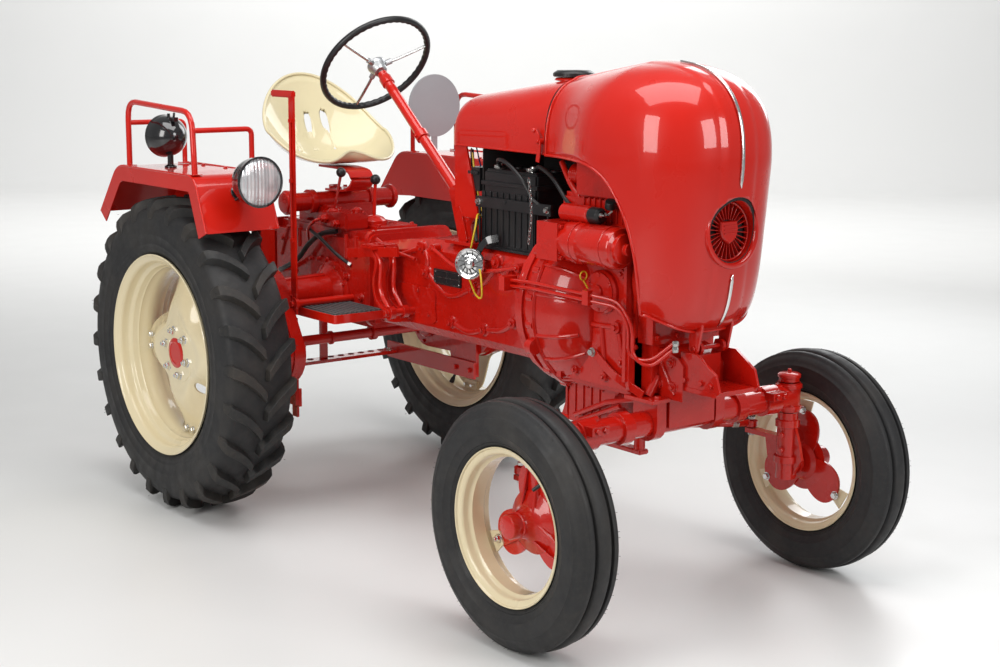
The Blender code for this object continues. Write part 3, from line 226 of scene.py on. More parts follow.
# ---- shapes ----
def basis(direction):
    """A rotation that turns +Z into the direction."""
    return Vector(direction).normalized().to_track_quat("Z", "Y").to_matrix()


def rounded(points, corner, steps=5):
    """The same path with each inner corner replaced by an arc-like curve."""
    points = [Vector(p) for p in points]
    path = [points[0]]
    for before, at, after in zip(points, points[1:], points[2:]):
        reach = min(corner, (at - before).length * 0.49, (after - at).length * 0.49)
        start = at + (before - at).normalized() * reach
        end = at + (after - at).normalized() * reach
        for i in range(steps + 1):
            t = i / steps
            path.append(start * (1 - t) ** 2 + at * 2 * t * (1 - t) + end * t * t)
    path.append(points[-1])
    return path


def smooth_path(points, per_span=6):
    """A Catmull-Rom curve through the points."""
    points = [Vector(p) for p in points]
    padded = [points[0] * 2 - points[1], *points, points[-1] * 2 - points[-2]]
    path = []
    for a, b, c, d in zip(padded, padded[1:], padded[2:], padded[3:]):
        for i in range(per_span):
            t = i / per_span
            path.append(0.5 * ((2 * b) + (c - a) * t + (2 * a - 5 * b + 4 * c - d) * t * t
                + (3 * b - a - 3 * c + d) * t ** 3))
    return path + [points[-1]]


def arc(centre, radius, start, end, steps):
    """Points of a circular arc in two axes; angles in degrees."""
    angles = [radians(start + (end - start) * i / steps) for i in range(steps + 1)]
    return [(centre[0] + radius * cos(a), centre[1] + radius * sin(a)) for a in angles]


class Piece:
    """Shapes collected into one shown piece that rides on a body."""

    def __init__(self, name, finish, body="chassis"):
        self.name, self.finish, self.body = name, finish, body
        self.points, self.faces = [], []
        self.holes = []

    def add(self, points, faces, side=1):
        start = len(self.points)
        self.points += [(side * p[0], p[1], p[2]) for p in points]
        self.faces += [tuple(start + i for i in face)[::side] for face in faces]
        return self

    def skin(self, rings, closed=True, caps=True, loop=False, side=1):
        """Joins rings of points; closed rings go round, and loop joins the last ring to the first."""
        count = len(rings[0])
        points = [p for ring in rings for p in ring]
        faces = []
        spans = len(rings) if loop else len(rings) - 1
        for k in range(spans):
            a, b = k * count, (k + 1) % len(rings) * count
            for i in range(count if closed else count - 1):
                j = (i + 1) % count
                faces.append((a + i, a + j, b + j, b + i))
        if caps and closed and not loop:
            faces.append(tuple(reversed(range(count))))
            faces.append(tuple(range(len(points) - count, len(points))))
        return self.add(points, faces, side)

    def lathe(self, profile, place, direction=(1, 0, 0), segments=48, loop=False, side=1):
        """Turns (radius, along) pairs about the direction through the place."""
        turn, place = basis(direction), Vector(place)
        rings = []
        for radius, along in profile:
            ring = []
            for i in range(segments):
                a = tau * i / segments
                local = Vector((radius * cos(a), radius * sin(a), along))
                ring.append(tuple(place + turn @ local))
            rings.append(ring)
        return self.skin(rings, caps=not loop, loop=loop, side=side)

    def rod(self, a, b, radius, segments=16, side=1):
        a, b = Vector(a), Vector(b)
        return self.lathe([(radius, 0), (radius, (b - a).length)], a, b - a, segments, side=side)

    def collar(self, inner, outer, place, direction=(1, 0, 0), segments=32, side=1):
        """A ring over a shaft: (radius, half width) at its foot, and the same at its top."""
        (low, foot), (high, top) = inner, outer
        return self.lathe([(low, -foot), (high, -top), (high, top), (low, foot)], place, direction, segments,
            side=side)

    def tube(self, path, radius, segments=12, closed=False, side=1, flat=None, up=None):
        """Sweeps a circle, or a flat (width, height) bar, along a path."""
        path = [Vector(p) for p in path]
        count = len(path)
        rings, across = [], None
        for k, point in enumerate(path):
            before = path[k - 1] if closed or k else point
            after = path[(k + 1) % count] if closed or k < count - 1 else point
            along = (after - before).normalized()
            if up is not None:
                across = along.cross(Vector(up)).normalized()
            elif across is None:
                across = along.cross(Vector((0, 0, 1)) if abs(along.z) < 0.9 else Vector((1, 0, 0))).normalized()
            else:
                across = (across - along * across.dot(along)).normalized()
            lift = across.cross(along).normalized()
            if flat:
                w, h = flat[0] / 2, flat[1] / 2
                ring = [point + across * x + lift * y for x, y in ((-w, -h), (w, -h), (w, h), (-w, h))]
            else:
                ring = [point + across * (radius * cos(tau * i / segments)) + lift
                    * (radius * sin(tau * i / segments)) for i in range(segments)]
            rings.append([tuple(p) for p in ring])
        return self.skin(rings, loop=closed, side=side)

    def box(self, low, high, side=1, turn=None):
        corners = [(x, y, z) for z in (low[2], high[2]) for y in (low[1], high[1]) for x in (low[0], high[0])]
        if turn is not None:
            centre = Vector([(a + b) / 2 for a, b in zip(low, high)])
            corners = [tuple(centre + turn @ (Vector(c) - centre)) for c in corners]
        faces = [(0, 2, 3, 1), (4, 5, 7, 6), (0, 1, 5, 4), (2, 6, 7, 3), (0, 4, 6, 2), (1, 3, 7, 5)]
        return self.add(corners, faces, side)

    def plate(self, outline, low, high, axis="X", side=1):
        """A flat shape cut from sheet, square to the axis."""
        def spot(a, b, c):
            return {"X": (c, a, b), "Y": (a, c, b), "Z": (a, b, c)}[axis]
        return self.skin([[spot(a, b, low) for a, b in outline], [spot(a, b, high) for a, b in outline]],
            side=side)

    def ball(self, place, radius, segments=20, side=1):
        steps = segments // 2
        profile = [(radius * sin(pi * i / steps) + 1e-5, -radius * cos(pi * i / steps)) for i in range(steps + 1)]
        return self.lathe(profile, place, (0, 0, 1), segments, side=side)

    def bolt(self, place, direction, size=0.008, height=0.006, side=1):
        """Hexagon head with a chamfered top on a washer."""
        washer = 0.0016
        self.lathe([(size * 1.25, 0), (size * 1.25, washer)], place, direction, 20, side=side)
        seat = Vector(place) + Vector(direction).normalized() * washer
        return self.lathe([(size, 0), (size, height * 0.8), (size * 0.86, height)], seat, direction, 6, side=side)

    def hole(self, a, b, radius):
        self.holes.append((Vector(a), Vector(b), radius))
        return self

    def done(self, bevel=0.0, angle=32, replaces=(), thick=0.0):
        """Makes the object: its sheet, holes and bevel, the body it rides on and the node it replaces."""
        mesh = bpy.data.meshes.new(self.name)
        mesh.from_pydata([ORIGIN + Vector(p) for p in self.points], [], self.faces)
        obj = link_mesh(self.name, mesh, self.finish, angle)
        if thick:
            modifier = obj.modifiers.new("Sheet", "SOLIDIFY")
            modifier.thickness = abs(thick)
            modifier.offset = -copysign(1, thick)
        for index, (a, b, radius) in enumerate(self.holes):
            drill = Piece(f"{self.name}_drill_{index}", self.finish)
            drill.rod(a, b, radius, 32)
            cutter_mesh = bpy.data.meshes.new(drill.name)
            cutter_mesh.from_pydata([ORIGIN + Vector(p) for p in drill.points], [], drill.faces)
            cutter = bpy.data.objects.new(drill.name, cutter_mesh)
            bpy.context.scene.collection.objects.link(cutter)
            cutter.hide_render = True
            cutter.display_type = "WIRE"
            modifier = obj.modifiers.new("Hole", "BOOLEAN")
            modifier.operation = "DIFFERENCE"
            modifier.solver = "EXACT"
            modifier.object = cutter
        if bevel:
            add_bevel(obj, bevel)
        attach(obj, self.body)
        if replaces:
            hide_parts(*([replaces] if isinstance(replaces, str) else replaces))
        return obj


def link_mesh(name, mesh, finish, angle):
    """An object from the mesh, welded, facing out and shaded by angle."""
    work = bmesh.new()
    work.from_mesh(mesh)
    bmesh.ops.remove_doubles(work, verts=work.verts, dist=2e-6)
    bmesh.ops.recalc_face_normals(work, faces=work.faces)
    work.to_mesh(mesh)
    work.free()
    mesh.shade_smooth()
    mesh.set_sharp_from_angle(angle=radians(angle))
    mesh.materials.append(finish)
    obj = bpy.data.objects.new(name, mesh)
    bpy.context.scene.collection.objects.link(obj)
    return obj


def add_bevel(obj, width):
    modifier = obj.modifiers.new("Edges", "BEVEL")
    modifier.width = width
    modifier.segments = 2
    modifier.limit_method = "ANGLE"
    modifier.angle_limit = radians(34)
    modifier.harden_normals = True
    modifier.use_clamp_overlap = True


def dress(node, finish, slot):
    """Gives a CAD node its finish and welded shading that is smooth up to its corners."""
    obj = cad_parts[node]
    obj.data.materials.clear()
    obj.data.materials.append(finish)
    if obj.data.has_custom_normals:
        bpy.context.view_layer.objects.active = obj
        bpy.ops.mesh.customdata_custom_splitnormals_clear()
    obj.data.shade_smooth()
    weld = obj.modifiers.new("Weld", "WELD")
    weld.merge_threshold = 0.00002
    split = obj.modifiers.new("Split", "EDGE_SPLIT")
    split.split_angle = radians(32)


def round_axle(middle, turn, x, y, z):
    """A point beside a wheel's middle, turned about its axle."""
    spun = Matrix.Rotation(turn, 3, "X") @ Vector((0, y, z))
    return (x, middle[1] + spun.y, middle[2] + spun.z)


# ---- rear wheels ----
REAR_R, REAR_X, LUGS = 0.516, 0.593, 24


def mirrored(profile):
    """A half profile of (radius, along) from the outer edge to the middle, completed to the other edge."""
    return profile + [(r, -x) for r, x in reversed(profile) if x != 0]


def rear_tyre(side, word):
    """Carcass, lugs and moulding hairs."""
    body, place = f"rear_wheel_{word}", (REAR_X, 0, REAR_R)
    outer = mirrored([(0.311, -0.094), (0.322, -0.096), (0.331, -0.102), (0.34, -0.109), (0.352, -0.1125),
        (0.358, -0.1122), (0.361, -0.115), (0.366, -0.115), (0.369, -0.1138), (0.392, -0.117), (0.396, -0.119),
        (0.4, -0.1175), (0.42, -0.1178), (0.44, -0.1165), (0.455, -0.1138), (0.468, -0.1085), (0.477, -0.099),
        (0.483, -0.084), (0.487, -0.06), (0.4895, -0.03), (0.49, 0)])
    inner = [(0.325, 0.088), (0.44, 0.096), (0.47, 0.06), (0.47, -0.06), (0.44, -0.096), (0.325, -0.088)]
    tyre = Piece(f"rear_tyre_carcass_{word}", tyre_dark, body)
    tyre.lathe(outer + inner, place, segments=96, loop=True, side=side)
    tyre.done(replaces=f"rear_tyre_{word}", angle=50)
    lug_path = [(0.0035, 0.516), (0.026, 0.516), (0.052, 0.515), (0.078, 0.512), (0.1, 0.506), (0.112, 0.496),
        (0.1172, 0.48), (0.119, 0.46), (0.1175, 0.445)]
    floor_of = [0.486, 0.486, 0.484, 0.48, 0.47, 0.462, 0.452, 0.444, 0.438]
    lean = [0.0, 0.055, 0.105, 0.142, 0.165, 0.176, 0.181, 0.184, 0.186]
    lugs = Piece(f"rear_tyre_lugs_{word}", tyre_lug, body)
    hairs = Piece(f"rear_tyre_hairs_{word}", tyre_dark, body)
    for index in range(LUGS * 2):
        hand = 1 if index % 2 else -1
        start = tau * index / (LUGS * 2)
        rings = []
        for k, ((x, top), low, lag) in enumerate(zip(lug_path, floor_of, lean)):
            share = k / (len(lug_path) - 1)
            crest = 0.015 + 0.004 * share
            root = crest + 0.0065
            fade = 1.0 if k < 6 else 1.0 - 0.1 * (k - 5)
            under = 0.0 if k < 5 else 0.0125
            ring = []
            for offset, radius, shift in ((-root, low, -under), (-crest, top, 0), (crest, top, 0),
                    (root, low, -under)):
                a = start + pi - lag + offset * fade / 0.5
                ring.append((REAR_X + hand * (x + shift), radius * cos(a), REAR_R + radius * sin(a)))
            rings.append(ring)
        lugs.skin(rings, side=side)
        if index % 3 == 0:
            a = start + pi - 0.168
            for k in range(2):
                radius = 0.513 - 0.03 * k
                spot = Vector((REAR_X + hand * (0.104 + 0.012 * k), radius * cos(a), REAR_R + radius * sin(a)))
                tip = spot + Vector((hand * 0.006, 0.002 * cos(a), 0.002 * sin(a) - 0.001))
                hairs.rod(spot, tip, 0.0005, 5, side=side)
    lugs.done(bevel=0.0022, angle=30)
    hairs.done()


def rear_rim(side, word):
    """Rim, four-lobed disc, clamps, bolts, hub and valve."""
    body, place = f"rear_wheel_{word}", (REAR_X, 0, REAR_R)
    face = [(0.33, -0.112), (0.3275, -0.114), (0.3245, -0.113), (0.3215, -0.108), (0.311, -0.103),
        (0.306, -0.098), (0.3045, -0.09), (0.304, -0.074), (0.3, -0.068), (0.292, -0.065), (0.289, -0.06),
        (0.2885, -0.047), (0.284, -0.042), (0.2835, -0.025), (0.28, -0.02), (0.2795, 0)]
    back = [(0.2845, 0), (0.285, 0.02), (0.289, 0.026), (0.2945, 0.06), (0.306, 0.07), (0.3095, 0.076),
        (0.3095, 0.096), (0.327, 0.104), (0.33, 0.112)]
    full_face = mirrored(face)
    full_back = mirrored([(r, -x) for r, x in reversed(back)])
    rim = Piece(f"rear_rim_{word}", cream, body)
    rim.lathe(list(reversed(full_face)) + full_back, place, segments=120, loop=True, side=side)
    rim.done(replaces=f"rear_wheel_{word}", angle=40)

    disc = Piece(f"rear_disc_{word}", cream, body)
    count, rows = 120, 14
    front, back_rings = [], []
    for row in range(rows + 1):
        share = row / rows
        if share < 0.4:
            dish = 0.046 - 0.004 * exp(-((share - 0.4) / 0.1) ** 2)
        else:
            t = (share - 0.4) / 0.6
            dish = 0.046 - 0.05 * (t * t * (3 - 2 * t)) - 0.002 * t
        ring_f, ring_b = [], []
        for i in range(count):
            a = tau * i / count
            lobe = cos(4 * a)
            edge = 0.236 + 0.048 * lobe
            r = 0.05 + (edge - 0.05) * share
            fold = -0.01 * max(0.0, (share - 0.86) / 0.14) ** 2 * (1 - max(lobe, 0)) + 0.006 * lobe * share ** 2
            x = REAR_X + dish + fold
            ring_f.append((x, r * cos(a), REAR_R + r * sin(a)))
            ring_b.append((x - 0.006, r * cos(a), REAR_R + r * sin(a)))
        front.append(ring_f)
        back_rings.append(ring_b)
    disc.skin(front + list(reversed(back_rings)), loop=True, caps=False, side=side)
    for a in (45, 225):
        y, z = 0.15 * cos(radians(a)), REAR_R + 0.15 * sin(radians(a))
        disc.hole((side * 0.5, y, z), (side * 0.7, y, z), 0.02)
    disc.done(angle=40)

    clamps = Piece(f"rear_rim_lugs_{word}", cream, body)
    bolts = Piece(f"rear_wheel_bolts_{word}", chrome, body)
    for k in range(4):
        turn = tau * k / 4
        for shift in (-0.02, 0.02):
            foot, seat, end = [round_axle(place, turn, x, shift, 0.262) for x in (0.56, 0.5985, 0.6005)]
            bolts.bolt(seat, (1, 0, 0), 0.0095, 0.008, side=side)
            bolts.rod(foot, end, 0.006, 12, side=side)
        corners = [(-0.036, 0.246), (0.036, 0.246), (0.04, 0.286), (-0.04, 0.286)]
        clamps.skin([[round_axle(place, turn, x, y, z) for y, z in corners] for x in (0.577, 0.588)], side=side)
    for k in range(6):
        a = tau * k / 6 + 0.3
        y, z = 0.074 * cos(a), REAR_R + 0.074 * sin(a)
        bolts.bolt((0.6385, y, z), (1, 0, 0), 0.0125, 0.013, side=side)
        bolts.rod((0.6385, y, z), (0.66, y, z), 0.0065, 14, side=side)
    clamps.done(bevel=0.0015)
    bolts.done(bevel=0.0006)
    hub = Piece(f"rear_hub_{word}", red, body)
    hub.lathe([(0.0495, -0.02), (0.0495, 0.049), (0.044, 0.052), (0.036, 0.053), (0.033, 0.051), (0.001, 0.051)],
        place, segments=48, side=side)
    hub.done(bevel=0.001)
    hub_plate = Piece(f"rear_hub_plate_{word}", cream, body)
    hub_plate.lathe([(0.1, 0.0395), (0.103, 0.042), (0.098, 0.046), (0.06, 0.0475), (0.05, 0.049)],
        place, segments=64, side=side)
    hub_plate.done(bevel=0.0008)
    valve = Piece(f"rear_valve_{word}", plastic, body)
    a = radians(-70)
    spot = Vector((0.56, 0.281 * cos(a), REAR_R + 0.281 * sin(a)))
    inward = Vector((0.25, -cos(a), -sin(a))).normalized()
    valve.lathe([(0.0095, -0.004), (0.0085, 0.012), (0.0055, 0.02), (0.0055, 0.038), (0.0045, 0.042)], spot,
        inward, 16, side=side)
    valve.done()


# ---- front wheels ----
FRONT_R, FRONT_X = 0.3275, 0.5545


def front_wheel(side, word):
    """Ribbed tyre, rim, three-armed hub, bolts and valve."""
    body, place = f"front_wheel_{word}", (FRONT_X, FRONT_Y, FRONT_R)
    outer = mirrored([(0.189, -0.04), (0.199, -0.042), (0.207, -0.046), (0.212, -0.053), (0.218, -0.058),
        (0.22, -0.057), (0.2215, -0.059), (0.2245, -0.06), (0.2265, -0.0605), (0.24, -0.068), (0.242, -0.0697),
        (0.245, -0.0697), (0.256, -0.0713), (0.27, -0.0712), (0.282, -0.0692), (0.284, -0.07), (0.2868, -0.069),
        (0.288, -0.0672), (0.297, -0.064), (0.305, -0.059), (0.311, -0.053), (0.3145, -0.049), (0.319, -0.047),
        (0.3215, -0.044), (0.3225, -0.034), (0.3215, -0.0315), (0.314, -0.0295), (0.3135, -0.022),
        (0.323, -0.0195), (0.3252, -0.017), (0.3268, -0.008), (0.3272, 0)])
    inner = [(0.2, 0.036), (0.27, 0.052), (0.3, 0.036), (0.3, -0.036), (0.27, -0.052), (0.2, -0.036)]
    tyre = Piece(f"front_tyre_ribbed_{word}", tyre_dark, body)
    tyre.lathe(outer + inner, place, segments=112, loop=True, side=side)
    for k in range(56):
        a = tau * (k + 0.3 * (k % 3)) / 56
        base = Vector((FRONT_X, FRONT_Y + 0.3188 * cos(a), FRONT_R + 0.3188 * sin(a)))
        for hand in (-1, 1):
            spot = base + Vector((hand * 0.0475, 0, 0))
            tyre.rod(spot, spot + Vector((hand * 0.004, 0.002 * cos(a), 0.002 * sin(a))), 0.0005, 5, side=side)
    tyre.done(replaces=f"front_tyre_{word}", angle=38)
    face = [(0.2078, -0.0537), (0.2062, -0.0556), (0.204, -0.0548), (0.2015, -0.05), (0.1935, -0.047),
        (0.1885, -0.044), (0.1868, -0.04), (0.1862, -0.029), (0.1835, -0.024), (0.18, -0.0215), (0.1775, -0.019),
        (0.1768, 0)]
    back = [(0.1805, 0), (0.1815, 0.021), (0.188, 0.03), (0.1895, 0.042), (0.205, 0.049), (0.2078, 0.0537)]
    rim = Piece(f"front_rim_fine_{word}", cream, body)
    rim.lathe(list(reversed(mirrored(face))) + mirrored([(r, -x) for r, x in reversed(back)]), place, segments=96,
        loop=True, side=side)
    hub_in = FRONT_X - 0.048
    for k in range(3):
        rings = []
        for x, half_low, half_high in ((hub_in + 0.0085, 0.02, 0.03), (hub_in + 0.0135, 0.019, 0.029)):
            corners = ((-half_low, 0.142), (half_low, 0.142), (half_high, 0.18), (-half_high, 0.18))
            rings.append([round_axle(place, tau * k / 3, x, y, z) for y, z in corners])
        rim.skin(rings, side=side)
    rim.done(replaces=f"front_rim_{word}", angle=40)
    hub = Piece(f"front_hub_fine_{word}", red_cast, body)
    outline = []
    for k in range(108):
        a = tau * k / 108
        radius = 0.108 + 0.056 * cos(3 * (a - pi / 2)) - 0.01 * cos(6 * (a - pi / 2))
        outline.append((FRONT_Y + radius * cos(a), FRONT_R + radius * sin(a)))
    hub.plate(outline, hub_in, hub_in + 0.0085, "X", side=side)
    hub.lathe([(0.086, 0.006), (0.08, 0.012), (0.058, 0.02), (0.046, 0.03), (0.0375, 0.044), (0.0355, 0.06),
        (0.0355, 0.062)], (hub_in, FRONT_Y, FRONT_R), segments=56, side=side)
    hub.lathe([(0.036, 0), (0.036, 0.002), (0.0325, 0.003), (0.0325, 0.028), (0.0305, 0.0325), (0.024, 0.0352),
        (0.001, 0.036)], (hub_in + 0.06, FRONT_Y, FRONT_R), segments=48, side=side)
    hub.lathe([(0.03, -0.012), (0.046, -0.01), (0.058, 0.001)], (hub_in, FRONT_Y, FRONT_R), segments=48,
        side=side)
    for k in range(3):
        for lean in (-1, 1):
            web = [(hub_in + 0.006, 0.03 * lean, 0.04), (hub_in + 0.03, 0.024 * lean, 0.032),
                (hub_in + 0.0105, 0.02 * lean, 0.148), (hub_in + 0.006, 0.02 * lean, 0.15)]
            hub.skin([[round_axle(place, tau * k / 3, x, y + shift, z) for x, y, z in web]
                for shift in (-0.0035, 0.0035)], side=side)
    hub.done(bevel=0.0014, replaces=f"front_hub_{word}")
    bolts = Piece(f"front_wheel_bolts_{word}", chrome, body)
    for k in range(3):
        spot = round_axle(place, tau * k / 3, hub_in + 0.0132, 0, 0.152)
        bolts.bolt(spot, (1, 0, 0), 0.0105, 0.01, side=side)
        bolts.rod(spot, (hub_in + 0.032, spot[1], spot[2]), 0.006, 14, side=side)
        bolts.bolt((hub_in, spot[1], spot[2]), (-1, 0, 0), 0.01, 0.008, side=side)
    bolts.done(bevel=0.0005)
    valve = Piece(f"front_valve_{word}", plastic, body)
    a = radians(128)
    spot = Vector((FRONT_X + 0.01, FRONT_Y + 0.177 * cos(a), FRONT_R + 0.177 * sin(a)))
    inward = Vector((0.9, -cos(a), -sin(a))).normalized()
    valve.lathe([(0.0085, -0.004), (0.0075, 0.01), (0.005, 0.018), (0.005, 0.036), (0.004, 0.04)], spot, inward,
        16, side=side)
    valve.done()


for hand, label in SIDES:
    rear_tyre(hand, label)
    rear_rim(hand, label)
    front_wheel(hand, label)


# ---- bodywork ----
SEAM, COWL_REAR, COWL_BOTTOM = -1.3, -0.83, 1.225
NOSE_START, NOSE_LENGTH, NOSE_MIDDLE, NOSE_DROP = -1.6, 0.293, 1.225, 0.452
GRILLE_Y, GRILLE_Z, GRILLE_LEAN = -1.868, 1.057, radians(-4)


def mix(a, b, t):
    """The value a share t of the way from a to b."""
    return a + (b - a) * t


def smooth_step(t):
    """Eased share."""
    return t * t * (3 - 2 * t)


def power_arc(angle, power):
    """A point on a superellipse."""
    c, s = cos(angle), sin(angle)
    return copysign(abs(c) ** (2 / power), c), copysign(abs(s) ** (2 / power), s)


def arch_height(y, across):
    """Height of the bonnet's lower edge."""
    if y >= -1.47:
        return COWL_BOTTOM
    t = (-1.47 - y) / 0.287
    if t >= 1:
        return mix(0.786, 0.838, min(across / 0.9, 1) ** 3)
    return mix(0.838, COWL_BOTTOM, sqrt(1 - t ** 3))


def bonnet_column(t, low, top):
    """Height and narrowing at a share of the way up a column."""
    below = (NOSE_MIDDLE - low) / NOSE_DROP
    share = below / (below + 1.0)
    if t < share:
        height = mix(low, NOSE_MIDDLE, t / share)
        return height, (1 - ((NOSE_MIDDLE - height) / NOSE_DROP) ** 7) ** (1 / 7)
    narrowing, rise = power_arc((t - share) / (1 - share) * pi / 2, 2.7)
    return NOSE_MIDDLE + (top - NOSE_MIDDLE) * rise, narrowing


def bonnet_columns(side_steps, nose_steps, rows, out=0.0):
    """The bonnet's skin as columns from its lower edge to the ridge; out moves it off the sheet."""
    start = SEAM - 0.003
    side = [mix(start, NOSE_START, i / side_steps) for i in range(side_steps)]
    plan = [(y, -1, 0.0) for y in side]
    for i in range(nose_steps + 1):
        across, ahead = power_arc(pi * i / nose_steps, 2.7)
        plan.append((NOSE_START, -across, ahead))
    plan += [(y, 1, 0.0) for y in reversed(side)]
    columns = []
    for y, across, ahead in plan:
        t = (start - y) / (start - NOSE_START)
        widest = mix(0.16, 0.24, smooth_step(t)) + out
        top = mix(1.436, 1.484, t) + out
        low = arch_height(y - NOSE_LENGTH * ahead, abs(across))
        column = []
        for row in range(rows + 1):
            z, ratio = bonnet_column(row / rows, low, top)
            drop = max(NOSE_MIDDLE - z, 0)
            half = (widest - 0.05 * drop) * ratio
            reach = (NOSE_LENGTH + out - 0.08 * drop) * ratio
            x, depth = half * across, y - reach * ahead
            band = max(0.0, 1 - (abs(x) / 0.062) ** 8) if abs(x) < 0.062 else 0.0
            column.append((x, depth - 0.0045 * band * ahead * ratio, z + 0.0045 * band * (1 - ahead * ratio)))
        columns.append(column)
    return columns


def bonnet():
    """Shell, rolled edge, a black inner sheet of painted shade, and hinge lugs."""
    columns = bonnet_columns(16, 110, 64)
    shell = Piece("bonnet_shell", red, "bonnet")
    shell.skin(list(reversed(columns)), closed=False, caps=False)
    lean = Matrix.Rotation(GRILLE_LEAN, 3, "X")
    ahead = lean @ Vector((0, -1, 0))
    centre = Vector((0, GRILLE_Y, GRILLE_Z))
    shell.hole(centre - ahead * 0.07, centre + ahead * 0.07, 0.0885)
    shell.done(angle=50, thick=0.0022, replaces="bonnet")
    edge = Piece("bonnet_rolled_edge", red, "bonnet")
    lower = [Vector(column[0]) for column in columns]
    edge.tube(lower, 0.0042, 10)
    edge.tube([Vector(p) + Vector((0, -0.002, 0)) for p in columns[0][::2]] + [Vector(p) + Vector((0, -0.002, 0))
        for p in reversed(columns[-1][::2])], 0.0035, 8)
    edge.done(angle=60)
    # A black sheet just inside the shell: painted shade for the bonnet's dark inside.
    inside = Piece("bonnet_inner_shadow_sheet", inner_dark, "bonnet")
    inner = bonnet_columns(8, 44, 24, -0.0045)
    inside.skin([column[1:] for column in inner], closed=False, caps=False)
    inside.hole(centre - ahead * 0.07, centre + ahead * 0.07, 0.08)
    inside.done(angle=60, thick=0.0012)
    hinge = Piece("bonnet_hinge_lugs", red, "bonnet")
    for side in (-1, 1):
        outline = arc((-1.8, 0.742), 0.016, 180, 360, 12)
        outline += [(-1.782, 0.768), (-1.792, 0.822), (-1.832, 0.832), (-1.828, 0.796)]
        low, high = sorted((side * 0.052, side * 0.06))
        hinge.plate(outline, low, high)
        hinge.lathe([(0.01, 0), (0.01, 0.004)], (high if side > 0 else low, -1.8, 0.742), (side, 0, 0), 6)
    hinge.done(bevel=0.001)


def trim_strip():
    """Bright strip down the middle of the nose, broken by the grille."""
    columns = bonnet_columns(16, 110, 240)
    middle = columns[len(columns) // 2]
    path = [Vector((0, y - 0.0035, z + 0.0025)) for x, y, z in middle]
    strip = Piece("bonnet_trim_strip", trim_silver, "bonnet")
    for low, high in ((0.8, 0.945), (1.168, 1.6)):
        part = [p for p in path if low <= p.z <= high and p.y < -1.66]
        outline = []
        for k, p in enumerate(part):
            taper = min(1.0, (k + 1) / 6, (len(part) - k) / 6)
            outline.append((p, 0.0052 * taper))
        rings = []
        for k, (p, w) in enumerate(outline):
            before, after = outline[max(k - 1, 0)][0], outline[min(k + 1, len(outline) - 1)][0]
            along = (after - before).normalized()
            lift = Vector((1, 0, 0)).cross(along).normalized()
            if lift.y > 0:
                lift = -lift
            rings.append([tuple(p + Vector((x, 0, 0)) + lift * h)
                for x, h in ((-w, -0.002), (w, -0.002), (w, 0.0012), (w * 0.5, 0.0026), (-w * 0.5, 0.0026),
                (-w, 0.0012))])
        strip.skin(rings)
    strip.done(angle=50)


def grille():
    """Bezel, slats and a blank shield."""
    turn = Matrix.Rotation(GRILLE_LEAN, 3, "X")
    ahead = turn @ Vector((0, -1, 0))
    right, up = Vector((1, 0, 0)), turn @ Vector((0, 0, 1))
    centre = Vector((0, GRILLE_Y, GRILLE_Z))

    def at(radius, angle, along):
        a = radians(angle)
        return centre + right * (radius * cos(a)) + up * (radius * sin(a)) + ahead * along

    ring = Piece("grille_bezel", red, "bonnet")
    ring.lathe([(0.0965, -0.008), (0.0985, 0.0), (0.097, 0.0055), (0.092, 0.0085), (0.087, 0.008),
        (0.0835, 0.004), (0.0815, -0.004), (0.08, -0.026), (0.0945, -0.026)], centre, ahead, 96, loop=True)
    ring.done(angle=40, replaces="grille")
    shade = Piece("grille_shadow", inner_dark, "bonnet")
    shade.lathe([(0.0001, -0.034), (0.083, -0.034), (0.083, -0.03), (0.0001, -0.03)], centre, ahead, 48)
    shade.done()
    slats = Piece("grille_slats", red, "bonnet")
    for index in range(28):
        a = 360 * (index + 0.5) / 28
        rings = []
        for radius, half in ((0.03, 1.9), (0.052, 1.5), (0.0755, 1.45)):
            rings.append([tuple(at(radius, a - half, -0.026)), tuple(at(radius, a + half, -0.026)),
                tuple(at(radius, a + half * 0.7, -0.014)), tuple(at(radius, a - half * 0.7, -0.014))])
        slats.skin(rings)
    slats.lathe([(0.0735, -0.026), (0.0805, -0.026), (0.08, -0.017), (0.0755, -0.0125), (0.073, -0.015)], centre,
        ahead, 72, loop=True)
    shield = [(-0.03, 0.026), (0.03, 0.026), (0.033, 0.004), (0.026, -0.016), (0.012, -0.028), (0.0, -0.034),
        (-0.012, -0.028), (-0.026, -0.016), (-0.033, 0.004)]
    slats.skin([[tuple(centre + right * (x * k) + up * (z * k) + ahead * d) for x, z in shield]
        for d, k in ((-0.026, 1.0), (-0.01, 1.0), (-0.006, 0.9))])
    for z in (0.014, 0.004, -0.006):
        slats.skin([[tuple(centre + right * x + up * (z + dz) + ahead * d)
            for x, dz in ((-0.022, -0.0016), (0.022, -0.0016), (0.022, 0.0016), (-0.022, 0.0016))]
            for d in (-0.007, -0.0035)])
    slats.done(bevel=0.0006, angle=40)


def cowl_ring(y, out=0.0):
    """Cross-section of the tank cowl."""
    t = (COWL_REAR - y) / (COWL_REAR - SEAM)
    inset = min(max((COWL_REAR - y) / 0.055, 0.0), 1.0)
    shrink = mix(0.9, 1.0, sqrt(1 - (1 - inset) ** 2))
    half = mix(0.135, 0.16, smooth_step(t)) * shrink + out
    top = COWL_BOTTOM + (mix(1.372, 1.436, t) - COWL_BOTTOM) * shrink + out
    ring, steps = [], 48
    for step in range(steps + 1):
        c, s = power_arc(pi * step / steps, 2.9)
        ring.append((half * c, y, COWL_BOTTOM + (top - COWL_BOTTOM) * s))
    return ring


